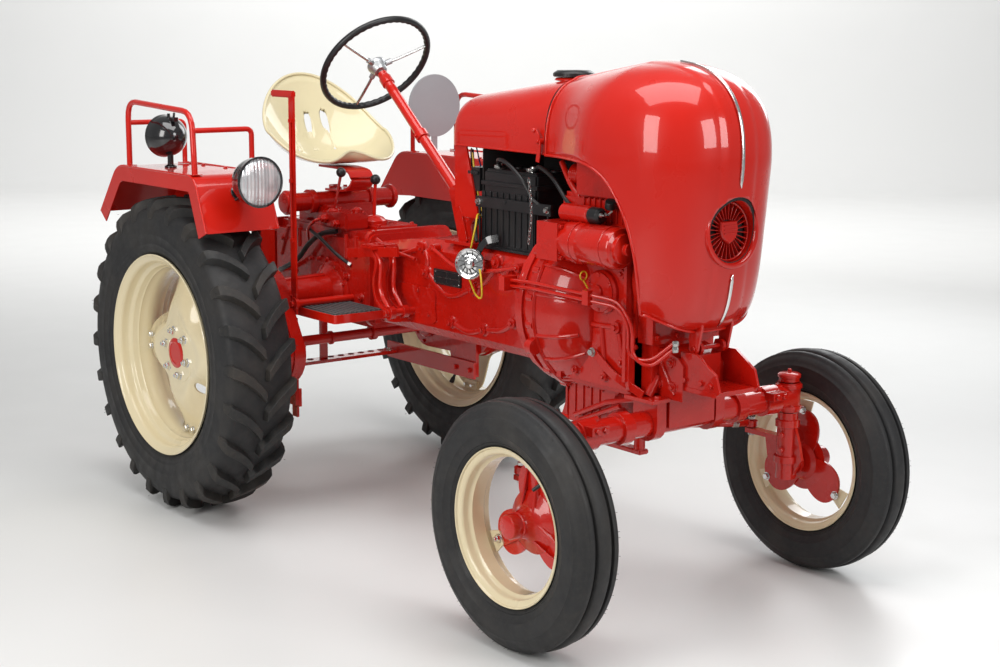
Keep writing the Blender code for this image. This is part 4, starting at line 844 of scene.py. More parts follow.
def tank():
    """Cowl, its beads, the gasket and the fuel cap."""
    cowl = Piece("fuel_tank", red)
    rows = [COWL_REAR - 0.055 * (1 - cos(pi / 2 * i / 10)) for i in range(11)]
    rows += [mix(COWL_REAR - 0.055, SEAM + 0.003, i / 26) for i in range(1, 27)]
    cowl.skin([cowl_ring(y) for y in rows])
    cowl.done(bevel=0.004, angle=40, replaces="tank_cowl")
    beads = Piece("tank_beads", red)
    lower = [Vector((side * mix(0.135, 0.16, smooth_step(t)), mix(COWL_REAR - 0.03, SEAM + 0.004, t), 1.228))
        for side, ts in ((1, range(25)), (-1, reversed(range(25)))) for t in [k / 24 for k in ts]]
    beads.tube(lower, 0.0032, 8)
    beads.lathe([(0.05, 0), (0.056, 0.002), (0.053, 0.008), (0.046, 0.01)],
        (0, -1.235, mix(1.372, 1.436, 0.862) - 0.002), (0, 0, 1), 40)
    beads.done(angle=50)
    seam = Piece("bonnet_gasket", hose_mat)
    seam.skin([cowl_ring(y, -0.0015) for y in (SEAM + 0.0032, SEAM - 0.0028)])
    seam.done(angle=50)
    cap = Piece("fuel_cap_lid", plastic)
    foot = mix(1.372, 1.436, 0.862) + 0.0095
    cap.lathe([(0.046, 0), (0.0575, 0), (0.0585, 0.0015), (0.0585, 0.0105), (0.0565, 0.013), (0.05, 0.0165),
        (0.048, 0.0182), (0.03, 0.0184), (0.028, 0.017), (0.0001, 0.017)], (0, -1.235, foot), (0, 0, 1), 72)
    for i in range(24):
        a = tau * i / 24
        cap.rod((0.0582 * cos(a), -1.235 + 0.0582 * sin(a), foot + 0.002),
            (0.0582 * cos(a), -1.235 + 0.0582 * sin(a), foot + 0.01), 0.0016, 8)
    cap.done(bevel=0.0006, replaces="fuel_cap")


def latch():
    """Catch on each side of the seam, its lever under the tank."""
    for side, word in SIDES:
        clip = Piece(f"bonnet_catch_{word}", red)
        clip.tube(smooth_path([(0.17, -1.282, 1.205), (0.172, -1.29, 1.245), (0.173, -1.286, 1.275),
            (0.17, -1.27, 1.29)], 6), 0, flat=(0.014, 0.004), side=side, up=(1, 0, 0))
        clip.lathe([(0.009, 0), (0.009, 0.016), (0.006, 0.018)], (0.158, -1.288, 1.262), (1, 0, 0), 20, side=side)
        clip.ball((0.173, -1.268, 1.292), 0.007, 14, side=side)
        clip.bolt((0.1745, -1.288, 1.262), (1, 0, 0), 0.006, 0.004, side=side)
        clip.done(bevel=0.0006)


# ---- driver's place ----
def seat():
    """Pressed bucket seat with a rolled edge."""
    centre = Vector((0, 0.06, 1.11))

    def spot(share, angle, out=0.0):
        across, along = cos(angle), sin(angle)
        length = 0.19
        back = 0.29 * max(along, 0) ** 1.6 * share ** 2.6
        flank = 0.095 * across ** 2 * share ** 3 * min(1 + along, 1)
        pommel = lobe = 0.0
        if along < 0:
            front = exp(-(across / 0.3) ** 2)
            pommel = 0.035 * front * share ** 4
            lobe = -0.25 * front * share ** 3
        return centre + Vector((0.235 * across * share, length * along * share * (1 + lobe),
            back + flank + pommel + 0.01 * share ** 2 + out))

    pan = Piece("seat_shell", seat_cream_shaded)
    turns, rows = 96, 26
    rings = [[tuple(spot(max(r / rows, 0.012), tau * k / turns)) for k in range(turns)] for r in range(rows + 1)]
    pan.skin(rings, caps=False)
    for x, y in ((0, 0.198), (-0.066, 0.19), (0.066, 0.19), (-0.095, 0.02), (0.095, 0.02)):
        for offset in (-0.006, 0.0, 0.006):
            pan.hole((x + offset, y - 0.06, 1.15), (x + offset, y + 0.06, 1.33)
                if y > 0.1 else (x + offset, y + 0.02, 1.02), 0.008)
    pan.done(angle=60, thick=-0.0028, replaces="seat_pan")
    roll = Piece("seat_rolled_edge", seat_cream_shaded)
    rim = [spot(1.0, tau * k / 160) for k in range(160)]
    roll.tube(rim, 0.0052, 10, closed=True)
    for x in (-0.03, 0.03):
        for y in (0.0, 0.045):
            roll.bolt((x, y, 1.1145), (0, 0, 1), 0.0075, 0.004)
    roll.done(angle=60)


def steering():
    """Rim, spokes, hub and the collars on the column."""
    body = "steering_wheel"
    top, foot = Vector((0, -0.24, 1.4462)), Vector((0, -0.87, 0.908))
    up = (top - foot).normalized()
    side_way = Vector((1, 0, 0))
    cross = up.cross(side_way)

    def at(radius, angle, along):
        a = radians(angle)
        return top + side_way * (radius * cos(a)) + cross * (radius * sin(a)) + up * along

    rim = Piece("steering_rim", plastic, body)
    rings = []
    for k in range(192):
        a = 360 * k / 192
        grip = 0.0108 + 0.0009 * cos(radians(a * 48))
        ring = []
        for i in range(14):
            b = tau * i / 14
            inner = grip if cos(b) < 0.2 else 0.011
            ring.append(tuple(at(0.19 + inner * cos(b), a, 0.012 + inner * sin(b))))
        rings.append(ring)
    rim.skin(rings, loop=True)
    rim.done(angle=60, replaces="steering_wheel")
    spokes = Piece("steering_spokes", steel, body)
    for a in (-152, -25, 90):
        spokes.tube([at(0.02, a, 0.0), at(0.07, a, 0.0), at(0.14, a, 0.006), at(0.186, a, 0.012)], 0.0048, 12)
    spokes.done(angle=60)
    hub = Piece("steering_hub", aluminium, body)
    hub.lathe([(0.016, -0.03), (0.022, -0.028), (0.026, -0.014), (0.031, -0.006), (0.033, 0.002), (0.032, 0.01),
        (0.028, 0.013), (0.024, 0.013), (0.022, 0.011), (0.0001, 0.011)], top, up, 48)
    hub.lathe([(0.01, 0.011), (0.0085, 0.019)], top, up, 6)
    for a in (-152, -25, 90):
        hub.tube([at(0.018, a, -0.001), at(0.052, a, 0.001)], 0.0095, 14)
    hub.done(bevel=0.001)
    shaft = Piece("steering_shaft", steel, body)
    shaft.rod(top - up * 0.05, top - up * 0.004, 0.0095, 20)
    shaft.done()
    collar = Piece("column_collars", red)
    collar.lathe([(0.0172, -0.09), (0.0215, -0.088), (0.0215, -0.06), (0.019, -0.056), (0.012, -0.054)], top, up,
        32)
    for place in (0.18, 0.6):
        spot = foot + (top - foot) * place
        collar.collar((0.0172, 0.014), (0.0225, 0.013), spot, up, 32)
        collar.bolt(spot + Vector((-0.0225, 0, 0)), (-1, 0, 0), 0.006, 0.005)
    flange = foot + up * 0.035
    collar.lathe([(0.04, -0.01), (0.04, 0.004), (0.028, 0.008), (0.02, 0.03)], flange, up, 40)
    for i in range(4):
        a = radians(45 + 90 * i)
        collar.bolt(flange + up * 0.004 + side_way * (0.032 * cos(a)) + cross * (0.032 * sin(a)), up, 0.006,
            0.004)
    collar.done(bevel=0.001)


def round_lamp(name, place, direction, radius, depth, replaces, hood=False):
    """Bowl, rim and ribbed lens of a lamp whose face is at the place."""
    bowl = Piece(f"{name}_shell", black)
    profile = [(0.0001, -depth)]
    for i in range(1, 13):
        a = pi / 2 * i / 12
        profile.append((radius * 0.985 * sin(a), -0.004 - (depth - 0.004) * cos(a)))
    profile += [(radius * 1.01, 0.0), (radius * 1.01, 0.004), (radius * 0.93, 0.007), (radius * 0.91, 0.004),
        (radius * 0.91, -0.004)]
    bowl.lathe(profile, place, direction, 64)
    if hood:
        bowl.rod(Vector(place) + Vector((0, 0, radius * 0.9)) - Vector(direction) * 0.03,
            Vector(place) + Vector((0, 0, radius * 0.9 + 0.012)) - Vector(direction) * 0.03, 0.005, 12)
    bowl.done(angle=45, replaces=replaces)
    front = Piece(f"{name}_glass", lens_glass)
    front.lathe([(radius * 0.92, 0.002), (radius * 0.8, 0.0055), (radius * 0.5, 0.0085), (0.0001, 0.01),
        (0.0001, 0.008), (radius * 0.5, 0.0065), (radius * 0.8, 0.0035), (radius * 0.91, 0.0008)], place,
        direction, 64)
    front.done(angle=60)


def lamps():
    """Headlamps, work lamp and tail lamps."""
    for side, word in SIDES:
        round_lamp(f"headlamp_{word}_front", (side * 0.56, -0.4255, 1.104), (0, -1, 0), 0.078, 0.108,
            f"headlamp_{word}")
        bracket = Piece(f"headlamp_bracket_{word}", black)
        bracket.rod((0.56, -0.35, 1.104), (0.56, -0.288, 1.063), 0.0115, 24, side=side)
        bracket.lathe([(0.024, 0), (0.024, 0.004), (0.014, 0.008), (0.012, 0.02)], (0.56, -0.2864, 1.062),
            (0, -0.924, 0.381), 32, side=side)
        bracket.tube(smooth_path([(0.56, -0.33, 1.075), (0.566, -0.312, 1.052), (0.572, -0.293, 1.04)], 6), 0.004,
            10, side=side)
        bracket.done(bevel=0.0008)
    round_lamp("work_lamp_rear", (-0.6, 0.115, 1.218), (0, 1, 0), 0.069, 0.084, "work_lamp", hood=True)
    arm = Piece("work_lamp_arm", black)
    arm.rod((-0.6, 0.08, 1.16), (-0.6, 0.08, 1.1175), 0.01, 20)
    arm.lathe([(0.02, 0), (0.02, 0.005), (0.012, 0.01)], (-0.6, 0.08, 1.1172), (0, 0, 1), 28)
    arm.box((-0.608, 0.034, 1.268), (-0.592, 0.066, 1.282))
    arm.rod((-0.6, 0.05, 1.28), (-0.6, 0.046, 1.296), 0.004, 10)
    arm.done(bevel=0.001)
    for side, word in SIDES:
        turn = Matrix.Rotation(radians(39.7), 3, "X")
        tail = Piece(f"tail_lamp_{word}", black)
        tail.box((0.52, 0.3393, 1.0093), (0.6, 0.3513, 1.0693), turn=turn, side=side)
        tail.done(bevel=0.003)
        lens = Piece(f"tail_lens_{word}", red_lens)
        lens.box((0.527, 0.3488, 1.022), (0.593, 0.3578, 1.07), turn=turn, side=side)
        lens.done(bevel=0.003)


bonnet()
trim_strip()
grille()
tank()
latch()
seat()
steering()
lamps()


# ---- castings ----
def boss(piece, x, y, z, radius=0.016, reach=0.014, size=0.009, side=-1):
    """A turned boss with a bolt on a flat side of the castings."""
    out = side * reach
    piece.lathe([(radius * 1.25, 0), (radius, reach * 0.35), (radius * 0.96, reach)], (x, y, z), (side, 0, 0), 28)
    piece.bolt((x + out, y, z), (side, 0, 0), size, size * 0.75)


def bolt_round(piece, count, place, radius, side, size, height, squash=1.0):
    """Bolts evenly round a place on a side face of the castings."""
    x, y, z = place
    for i in range(count):
        a = tau * (i + 0.5) / count
        spot = (x, y + radius * cos(a) * squash, z + radius * sin(a) * squash)
        piece.bolt(spot, (side, 0, 0), size, height)


def flange(piece, y, width, z_low, z_high, thick=0.012, corner=0.03):
    """A rectangular joint flange round the castings, square to the tractor's length."""
    w, top, foot = width - corner, z_high - corner, z_low + corner
    outline = []
    for cx, cz, start in ((w, top, 0), (-w, top, 90), (-w, foot, 180), (w, foot, 270)):
        outline += arc((cx, cz), corner, start, start + 90, 6)
    piece.plate(outline, y - thick / 2, y + thick / 2, "Y")


def gearbox():
    """Covers, bosses, ribs, top plate, valve and hoses."""
    box = Piece("gearbox_details", red_cast)
    flange(box, -0.414, 0.166, 0.612, 0.926, 0.02)
    flange(box, 0.196, 0.16, 0.6, 0.915, 0.016)
    for z in (0.65, 0.72, 0.8, 0.88):
        for side in (1, -1):
            box.bolt((side * 0.1585, -0.404, z), (0, 1, 0), 0.0065, 0.005)
    for side in (1, -1):
        cover = [(-0.06, 0.805), (-0.166, 0.808), (-0.214, 0.676), (-0.056, 0.656)]
        box.plate(cover, *sorted((side * 0.148, side * 0.157)))
        inner = [(-0.07, 0.795), (-0.16, 0.798), (-0.2, 0.686), (-0.066, 0.668)]
        box.plate(inner, *sorted((side * 0.156, side * 0.161)))
        for y, z in ((-0.066, 0.799), (-0.161, 0.803), (-0.208, 0.679), (-0.062, 0.66), (-0.115, 0.802)):
            boss(box, side * 0.155, y, z, 0.0095, 0.006, 0.006, side)
        for y, z in ((-0.276, 0.759), (-0.33, 0.84), (-0.36, 0.7), (0.06, 0.74), (0.12, 0.85), (0.13, 0.66)):
            boss(box, side * 0.149, y, z, 0.013, 0.01, 0.007, side)
        for a, b in (((-0.272, 0.9), (-0.272, 0.79)), ((-0.33, 0.9), (-0.33, 0.85)),
                ((0.02, 0.895), (0.02, 0.83)), ((0.09, 0.895), (0.14, 0.79)), ((-0.385, 0.64), (-0.25, 0.64))):
            box.tube([(side * 0.15, *a), (side * 0.15, *b)], 0.007, 12)
        box.lathe([(0.104, 0), (0.104, 0.01), (0.096, 0.014), (0.092, 0.016)], (side * 0.1495, -0.19, 0.7),
            (side, 0, 0), 56)
        bolt_round(box, 8, (side * 0.162, -0.19, 0.7), 0.0905, side, 0.0075, 0.006)
    box.done(bevel=0.0016, angle=38)
    top = Piece("gearbox_top_details", red_cast)
    outline = [(0.118, -0.3), (0.118, 0.15), (-0.118, 0.15), (-0.118, -0.09), (-0.044, -0.09), (-0.044, -0.3)]
    top.plate(outline, 0.9102, 0.9185, "Z")
    for x, y in ((0.106, -0.285), (0.106, -0.1), (0.106, 0.03), (0.106, 0.138), (-0.106, 0.138), (-0.106, 0.03),
            (0.0, 0.138), (-0.03, -0.288)):
        top.bolt((x, y, 0.9185), (0, 0, 1), 0.0075, 0.006)
    for side in (1, -1):
        top.lathe([(0.036, -0.004), (0.042, 0.0), (0.042, 0.01), (0.034, 0.014), (0.034, 0.02), (0.012, 0.022)],
            (side * 0.205, 0, 0.985), (side, 0, 0), 40)
        bolt_round(top, 4, (side * 0.215, 0, 0.985), 0.036, side, 0.004, 0.004, 0.9)
        top.collar((0.033, 0.012), (0.041, 0.01), (side * 0.118, 0, 0.985), (1, 0, 0), 40)
    top.tube(rounded([(-0.112, 0.012, 0.975), (-0.112, 0.11, 0.968), (-0.06, 0.15, 0.94)], 0.03), 0.0075, 12)
    top.done(bevel=0.0012, angle=38)
    valve = Piece("valve_details", red_cast)
    valve.lathe([(0.017, 0), (0.017, 0.01), (0.013, 0.012), (0.013, 0.024)], (-0.145, -0.14, 0.94), (-1, 0, 0), 6)
    valve.lathe([(0.014, 0), (0.014, 0.012), (0.01, 0.014), (0.01, 0.022)], (-0.145, -0.215, 0.93), (-1, 0, 0), 6)
    valve.lathe([(0.016, 0), (0.016, 0.012), (0.008, 0.018)], (-0.085, -0.24, 0.965), (0, 0, 1), 24)
    valve.lathe([(0.02, 0), (0.02, 0.008), (0.013, 0.014)], (-0.12, -0.15, 0.96), (0, 0, 1), 28)
    for y in (-0.255, -0.185, -0.115):
        valve.bolt((-0.07, y, 0.965), (0, 0, 1), 0.0055, 0.005)
    valve.tube(smooth_path([(-0.155, -0.14, 0.94), (-0.185, -0.135, 0.935), (-0.19, -0.1, 0.905),
        (-0.165, -0.06, 0.87), (-0.152, -0.045, 0.85)], 6), 0.005, 10)
    valve.done(bevel=0.001)
    knobs = Piece("lever_balls", plastic)
    knobs.ball((-0.122, -0.202, 1.098), 0.0165, 28)
    knobs.ball((0.01, -0.209, 1.0683), 0.0175, 28)
    knobs.done()
    hose = Piece("gearbox_hose", hose_mat)
    hose.tube(smooth_path([(-0.15, -0.215, 0.905), (-0.172, -0.15, 0.89), (-0.176, -0.08, 0.85),
        (-0.176, -0.02, 0.8), (-0.174, 0.03, 0.774), (-0.17, 0.106, 0.744), (-0.15, 0.15, 0.735)], 8), 0.0085, 14)
    hose.tube(smooth_path([(-0.15, -0.3, 0.8), (-0.178, -0.255, 0.835), (-0.186, -0.17, 0.88),
        (-0.178, -0.09, 0.905), (-0.14, -0.06, 0.925)], 8), 0.006, 12)
    hose.done()
    ends = Piece("hose_ends", steel)
    ends.lathe([(0.011, 0), (0.011, 0.014), (0.009, 0.016)], (-0.15, 0.15, 0.735), (-0.5, -1, 0.2), 6)
    ends.lathe([(0.009, 0), (0.009, 0.012)], (-0.15, -0.3, 0.8), (-0.6, 1, 0.6), 6)
    ends.done(bevel=0.0006)


def clutch():
    """Covers, ribs, blank data plate, linkage and steering gear bolts."""
    side_plate = Piece("clutch_housing_details", red_cast)
    flange(side_plate, -0.428, 0.166, 0.632, 0.915, 0.012)
    flange(side_plate, -1.226, 0.164, 0.64, 0.944, 0.016, 0.05)
    for side in (1, -1):
        cover = smooth_path([(0, -0.53, 0.77), (0, -0.616, 0.782), (0, -0.7, 0.782), (0, -0.771, 0.775),
            (0, -0.776, 0.72), (0, -0.771, 0.674), (0, -0.64, 0.66), (0, -0.52, 0.647), (0, -0.514, 0.7),
            (0, -0.53, 0.77)], 4)[:-1]
        side_plate.plate([(p.y, p.z) for p in cover], *sorted((side * 0.148, side * 0.156)))
        for y, z in ((-0.546, 0.664), (-0.745, 0.699), (-0.54, 0.752), (-0.69, 0.77), (-0.64, 0.676)):
            side_plate.bolt((side * 0.156, y, z), (side, 0, 0), 0.007, 0.006)
        for y, z, r in ((-0.707, 0.904, 0.018), (-0.728, 0.83, 0.02), (-0.969, 0.809, 0.022),
                (-1.083, 0.9, 0.019), (-0.86, 0.69, 0.017), (-1.02, 0.69, 0.017), (-1.16, 0.73, 0.016),
                (-1.15, 0.88, 0.014), (-0.48, 0.85, 0.014)):
            boss(side_plate, side * 0.149, y, z, r, 0.014, r * 0.5, side)
        for path in (((-0.707, 0.904), (-0.735, 0.87), (-0.728, 0.83)),
                ((-0.969, 0.809), (-1.03, 0.84), (-1.083, 0.9)), ((-0.728, 0.83), (-0.84, 0.77), (-0.969, 0.809)),
                ((-0.86, 0.69), (-0.94, 0.672), (-1.02, 0.69)), ((-1.02, 0.69), (-1.1, 0.7), (-1.16, 0.73)),
                ((-0.48, 0.85), (-0.56, 0.86), (-0.707, 0.904)), ((-1.16, 0.73), (-1.19, 0.8), (-1.15, 0.88))):
            side_plate.tube(smooth_path([(side * 0.15, y, z) for y, z in path], 8), 0.0085, 12)
    side_plate.done(bevel=0.0016, angle=38)
    data = Piece("data_plate", plastic)
    data.box((-0.1565, -0.907, 0.8), (-0.15, -0.771, 0.846))
    data.done(bevel=0.0006)
    frame_line = Piece("data_plate_lines", trim_silver)
    for a, b, c, d in ((-0.902, -0.776, 0.8415, 0.843), (-0.902, -0.776, 0.803, 0.8045),
            (-0.902, -0.9005, 0.803, 0.843), (-0.7775, -0.776, 0.803, 0.843), (-0.902, -0.776, 0.822, 0.8232),
            (-0.84, -0.8388, 0.803, 0.843)):
        frame_line.box((-0.1569, a, c), (-0.156, b, d))
    for y in (-0.898, -0.78):
        for z in (0.808, 0.838):
            frame_line.lathe([(0.0022, 0), (0.0016, 0.0014)], (-0.1565, y, z), (-1, 0, 0), 12)
    frame_line.done()
    rods = Piece("clutch_linkage", red_cast)
    rods.tube(smooth_path([(-0.168, -0.781, 0.909), (-0.172, -0.882, 0.872), (-0.172, -0.939, 0.862),
        (-0.17, -1.06, 0.872), (-0.166, -1.19, 0.895)], 8), 0.0062, 12)
    for y, z in ((-0.781, 0.909), (-1.19, 0.895)):
        rods.lathe([(0.013, -0.004), (0.013, 0.022)], (-0.148, y, z), (-1, 0, 0), 24)
        rods.bolt((-0.17, y, z), (-1, 0, 0), 0.0065, 0.005)
    rods.tube([(-0.16, -0.467, 0.905), (-0.172, -0.56, 0.88), (-0.176, -0.7, 0.868)], 0.0055, 12)
    for side in (1, -1):
        rods.tube(rounded([(side * 0.12, -0.823, 1.099), (side * 0.128, -0.86, 1.02),
            (side * 0.134, -0.899, 0.935)], 0.02), 0, flat=(0.04, 0.008), up=(1, 0, 0))
        rods.box((0.112, -0.96, 0.9302), (0.15, -0.82, 0.94), side=side)
    rods.done(bevel=0.0012, angle=38)
    gear = Piece("steering_gear_details", red_cast)
    for x in (-0.046, 0.046):
        for y in (-0.936, -0.804):
            gear.lathe([(0.011, -0.002), (0.01, 0.006)], (x, y, 1.0), (0, 0, 1), 24)
            gear.bolt((x, y, 1.006), (0, 0, 1), 0.0065, 0.005)
    gear.lathe([(0.038, 0), (0.036, 0.008), (0.02, 0.012)], (-0.054, -0.87, 0.966), (-1, 0, 0), 40)
    bolt_round(gear, 4, (-0.0625, -0.87, 0.966), 0.028, -1, 0.004, 0.004)
    gear.done(bevel=0.001)


def horn():
    """Chromed horn on a bracket."""
    place, way = Vector((-0.205, -1.02, 0.892)), (-0.86, -0.5, 0.05)
    shell = Piece("horn_shell", chrome)
    shell.lathe([(0.044, -0.004), (0.046, -0.002), (0.0468, 0.002), (0.046, 0.007), (0.044, 0.0095),
        (0.0418, 0.0085), (0.0395, 0.005), (0.037, 0.004), (0.027, 0.0045), (0.017, 0.0055), (0.015, 0.0075),
        (0.013, 0.011), (0.009, 0.013), (0.0001, 0.0135)], place, way, 56)
    shell.done(angle=40)
    back = Piece("horn_back", black)
    back.lathe([(0.0001, -0.042), (0.02, -0.041), (0.024, -0.034), (0.026, -0.02), (0.042, -0.012),
        (0.0455, -0.003)], place, way, 48)
    back.tube(rounded([(-0.185, -1.01, 0.9), (-0.165, -1.04, 0.96), (-0.14, -1.07, 0.968)], 0.02), 0,
        flat=(0.022, 0.003), up=(1, 0, 0))
    back.done(angle=40)
    grid = Piece("horn_grid", plastic)
    turn = basis(way)
    for i in range(12):
        a = tau * i / 12
        grid.tube([place + turn @ Vector((radius * cos(b), radius * sin(b), along))
            for radius, b, along in ((0.014, a, 0.0085), (0.037, a + 0.3, 0.0045))], 0.0011, 8)
    grid.done()


def wiring():
    """Wires and cables beside the battery."""
    wires = (
        ("yellow_wires", yellow, 0.0028, (
            [(-0.105, -0.96, 1.01), (-0.15, -0.985, 1.03), (-0.178, -1.01, 1.0), (-0.186, -1.0, 0.94),
             (-0.19, -0.985, 0.89)],
            [(-0.19, -1.045, 0.88), (-0.21, -1.08, 0.85), (-0.205, -1.075, 0.8), (-0.185, -1.02, 0.8),
             (-0.175, -0.97, 0.85)],
            [(-0.11, -0.905, 1.205), (-0.118, -0.93, 1.13), (-0.112, -0.945, 1.06), (-0.108, -0.96, 1.02)])),
        ("white_wires", white_wire, 0.0024, (
            [(-0.16, -1.42, 1.085), (-0.2, -1.455, 1.055), (-0.206, -1.51, 1.04), (-0.19, -1.56, 1.06),
             (-0.165, -1.59, 1.095)],
            [(-0.08, -0.86, 1.215), (-0.096, -0.9, 1.14), (-0.1, -0.95, 1.1), (-0.095, -0.985, 1.11)])),
        ("blue_wires", blue_wire, 0.0022, (
            [(-0.06, -0.86, 1.215), (-0.08, -0.91, 1.16), (-0.09, -0.96, 1.12), (-0.08, -0.985, 1.15)],)),
        ("black_cables", hose_mat, 0.006, (
            [(-0.1, -1.03, 1.165), (-0.135, -1.06, 1.195), (-0.15, -1.12, 1.19), (-0.152, -1.19, 1.15),
             (-0.14, -1.235, 1.09), (-0.12, -1.29, 1.06)],
            [(-0.1, -1.18, 1.165), (-0.12, -1.23, 1.185), (-0.13, -1.3, 1.16), (-0.15, -1.38, 1.11),
             (-0.165, -1.43, 1.085)],
            [(-0.07, -0.85, 1.21), (-0.086, -0.88, 1.12), (-0.1, -0.93, 1.04), (-0.14, -0.96, 0.99),
             (-0.158, -0.99, 0.95)],
            [(0.1, -0.85, 1.21), (0.11, -0.88, 1.1), (0.13, -0.93, 1.01), (0.155, -1.0, 0.94)])))
    for name, finish, radius, routes in wires:
        piece = Piece(name, finish)
        for route in routes:
            piece.tube(smooth_path(route, 8), radius, 10)
        piece.done()


def hanging_chain(name, places, half_width, half_height, steps, radius, segments):
    """Oval links, each turned a quarter about the vertical from the one before."""
    piece = Piece(name, steel)
    for k, place in enumerate(places):
        turn = radians(90 * (k % 2))
        path = []
        for i in range(steps):
            b = tau * i / steps
            across = half_width * cos(b)
            path.append(place + Vector((across * cos(turn), across * sin(turn), half_height * sin(b))))
        piece.tube(path, radius, segments, closed=True)
    piece.done()


def battery():
    """Battery details, strap, black sheets of painted shade in the engine bay, fuse box and chain."""
    case = Piece("battery_case_details", plastic)
    for k in range(9):
        y = -1.215 + k * 0.0281
        case.box((-0.1285, y, 0.945), (-0.1245, y + 0.016, 1.1))
    case.box((-0.13, -1.232, 1.118), (0.05, -0.973, 1.13))
    for k in range(6):
        y = -1.205 + k * 0.041
        case.lathe([(0.014, 0), (0.014, 0.006), (0.009, 0.009), (0.0001, 0.009)], (-0.04, y, 1.1625), (0, 0, 1),
            24)
    case.box((-0.118, -1.215, 1.162), (0.038, -0.99, 1.1655))
    case.done(bevel=0.0012)
    posts = Piece("battery_posts", steel)
    for y in (-1.03, -1.18):
        posts.lathe([(0.011, 0), (0.009, 0.018), (0.0001, 0.018)], (-0.1, y, 1.164), (0, 0, 1), 24)
        posts.box((-0.116, y - 0.012, 1.168), (-0.084, y + 0.012, 1.177))
        posts.bolt((-0.116, y, 1.1725), (-1, 0, 0), 0.005, 0.004)
    posts.done(bevel=0.0008)
    strap = Piece("battery_strap", plastic)
    strap.box((-0.14, -1.305, 1.052), (-0.131, -0.96, 1.084))
    for y in (-1.29, -0.975):
        strap.rod((-0.1355, y, 1.068), (-0.1355, y, 0.935), 0.0035, 10)
    strap.bolt((-0.136, -1.1, 1.075), (-1, 0, 0), 0.006, 0.005)
    strap.tube([(-0.11, -1.25, 1.062), (-0.15, -1.31, 1.073)], 0.005, 10)
    strap.box((-0.135, -1.24, 0.9304), (0.055, -0.965, 0.938))
    strap.done(bevel=0.0008)
    nuts = Piece("battery_strap_nuts", steel)
    for y in (-1.29, -0.975):
        nuts.bolt((-0.14, y, 1.068), (-1, 0, 0), 0.008, 0.008)
    nuts.done()
    # Black sheets beside and behind the battery where only shade falls: painted shade.
    bay = Piece("engine_bay_shadow_sheets", inner_dark)
    bay.box((0.112, -1.6, 0.935), (0.116, -0.85, 1.222))
    bay.box((-0.112, -1.372, 1.16), (0.112, -1.368, 1.222))
    bay.box((-0.12, -0.972, 0.94), (0.112, -0.968, 1.222))
    bay.done()
    fuses = Piece("fuse_box", plastic)
    fuses.box((-0.124, -0.958, 1.095), (-0.06, -0.905, 1.165))
    for k in range(4):
        fuses.lathe([(0.006, 0), (0.006, 0.006), (0.0001, 0.007)], (-0.124, -0.914 - 0.012 * k, 1.15), (-1, 0, 0),
            16)
    fuses.done(bevel=0.001)
    places = [Vector((-0.168, -1.242 - 0.012 * sin(k / 5), 1.15 - k * 0.0115)) for k in range(16)]
    hanging_chain("hanging_chain", places, 0.0035, 0.008, 12, 0.0012, 6)


FLYWHEEL_Z = 0.8


def flywheel():
    """Flanges, bolts, ribs and the domed cover."""
    case = Piece("flywheel_flanges", red_cast)
    case.lathe([(0.205, -0.016), (0.246, -0.016), (0.252, -0.011), (0.252, 0.009), (0.247, 0.014),
        (0.215, 0.014)], (0, -1.352, FLYWHEEL_Z), (0, 1, 0), 96, loop=True)
    case.lathe([(0.18, -0.006), (0.2415, -0.004), (0.2415, 0.012), (0.18, 0.02)], (0, -1.3, FLYWHEEL_Z),
        (0, 1, 0), 96, loop=True)
    for i in range(20):
        a = tau * (i + 0.5) / 20
        place = (0.2435 * cos(a), -1.338, FLYWHEEL_Z + 0.2435 * sin(a))
        case.lathe([(0.0125, -0.022), (0.0125, 0.004)], place, (0, 1, 0), 20)
        case.bolt((place[0], place[1] + 0.004, place[2]), (0, 1, 0), 0.0072, 0.007)
    for a in range(0, 360, 30):
        r = radians(a + 7)
        u = Vector((cos(r), 0, sin(r)))
        case.tube([Vector((0, -1.282, FLYWHEEL_Z)) + u * 0.232, Vector((0, -1.245, FLYWHEEL_Z)) + u * 0.17],
            0.007, 10)
    dome = [(0.2445, 0.0), (0.2435, 0.022), (0.238, 0.052), (0.228, 0.082), (0.213, 0.11), (0.193, 0.134),
        (0.166, 0.152), (0.13, 0.16)]
    case.lathe(dome, (0, -1.35, FLYWHEEL_Z), (0, -1, 0), 96)
    for a in (20, 148, 168, 196, 214, 236, 340):
        r = radians(a)
        u = Vector((cos(r), 0, sin(r)))
        case.tube(smooth_path([Vector((0, -1.35 - y, FLYWHEEL_Z)) + u * (w - 0.001) for w, y in dome[:6]], 3),
            0.006, 10)
    case.done(bevel=0.0014, angle=38)
    lug = Piece("flywheel_lugs", red_cast)
    for x, z in ((-0.206, 0.965), (-0.238, 0.7), (0.206, 0.965), (0.238, 0.7)):
        lug.lathe([(0.022, -0.012), (0.022, 0.014), (0.018, 0.018)], (x, -1.352, z), (0, 1, 0), 28)
        lug.bolt((x, -1.334, z), (0, 1, 0), 0.009, 0.008)
    lug.done(bevel=0.001)


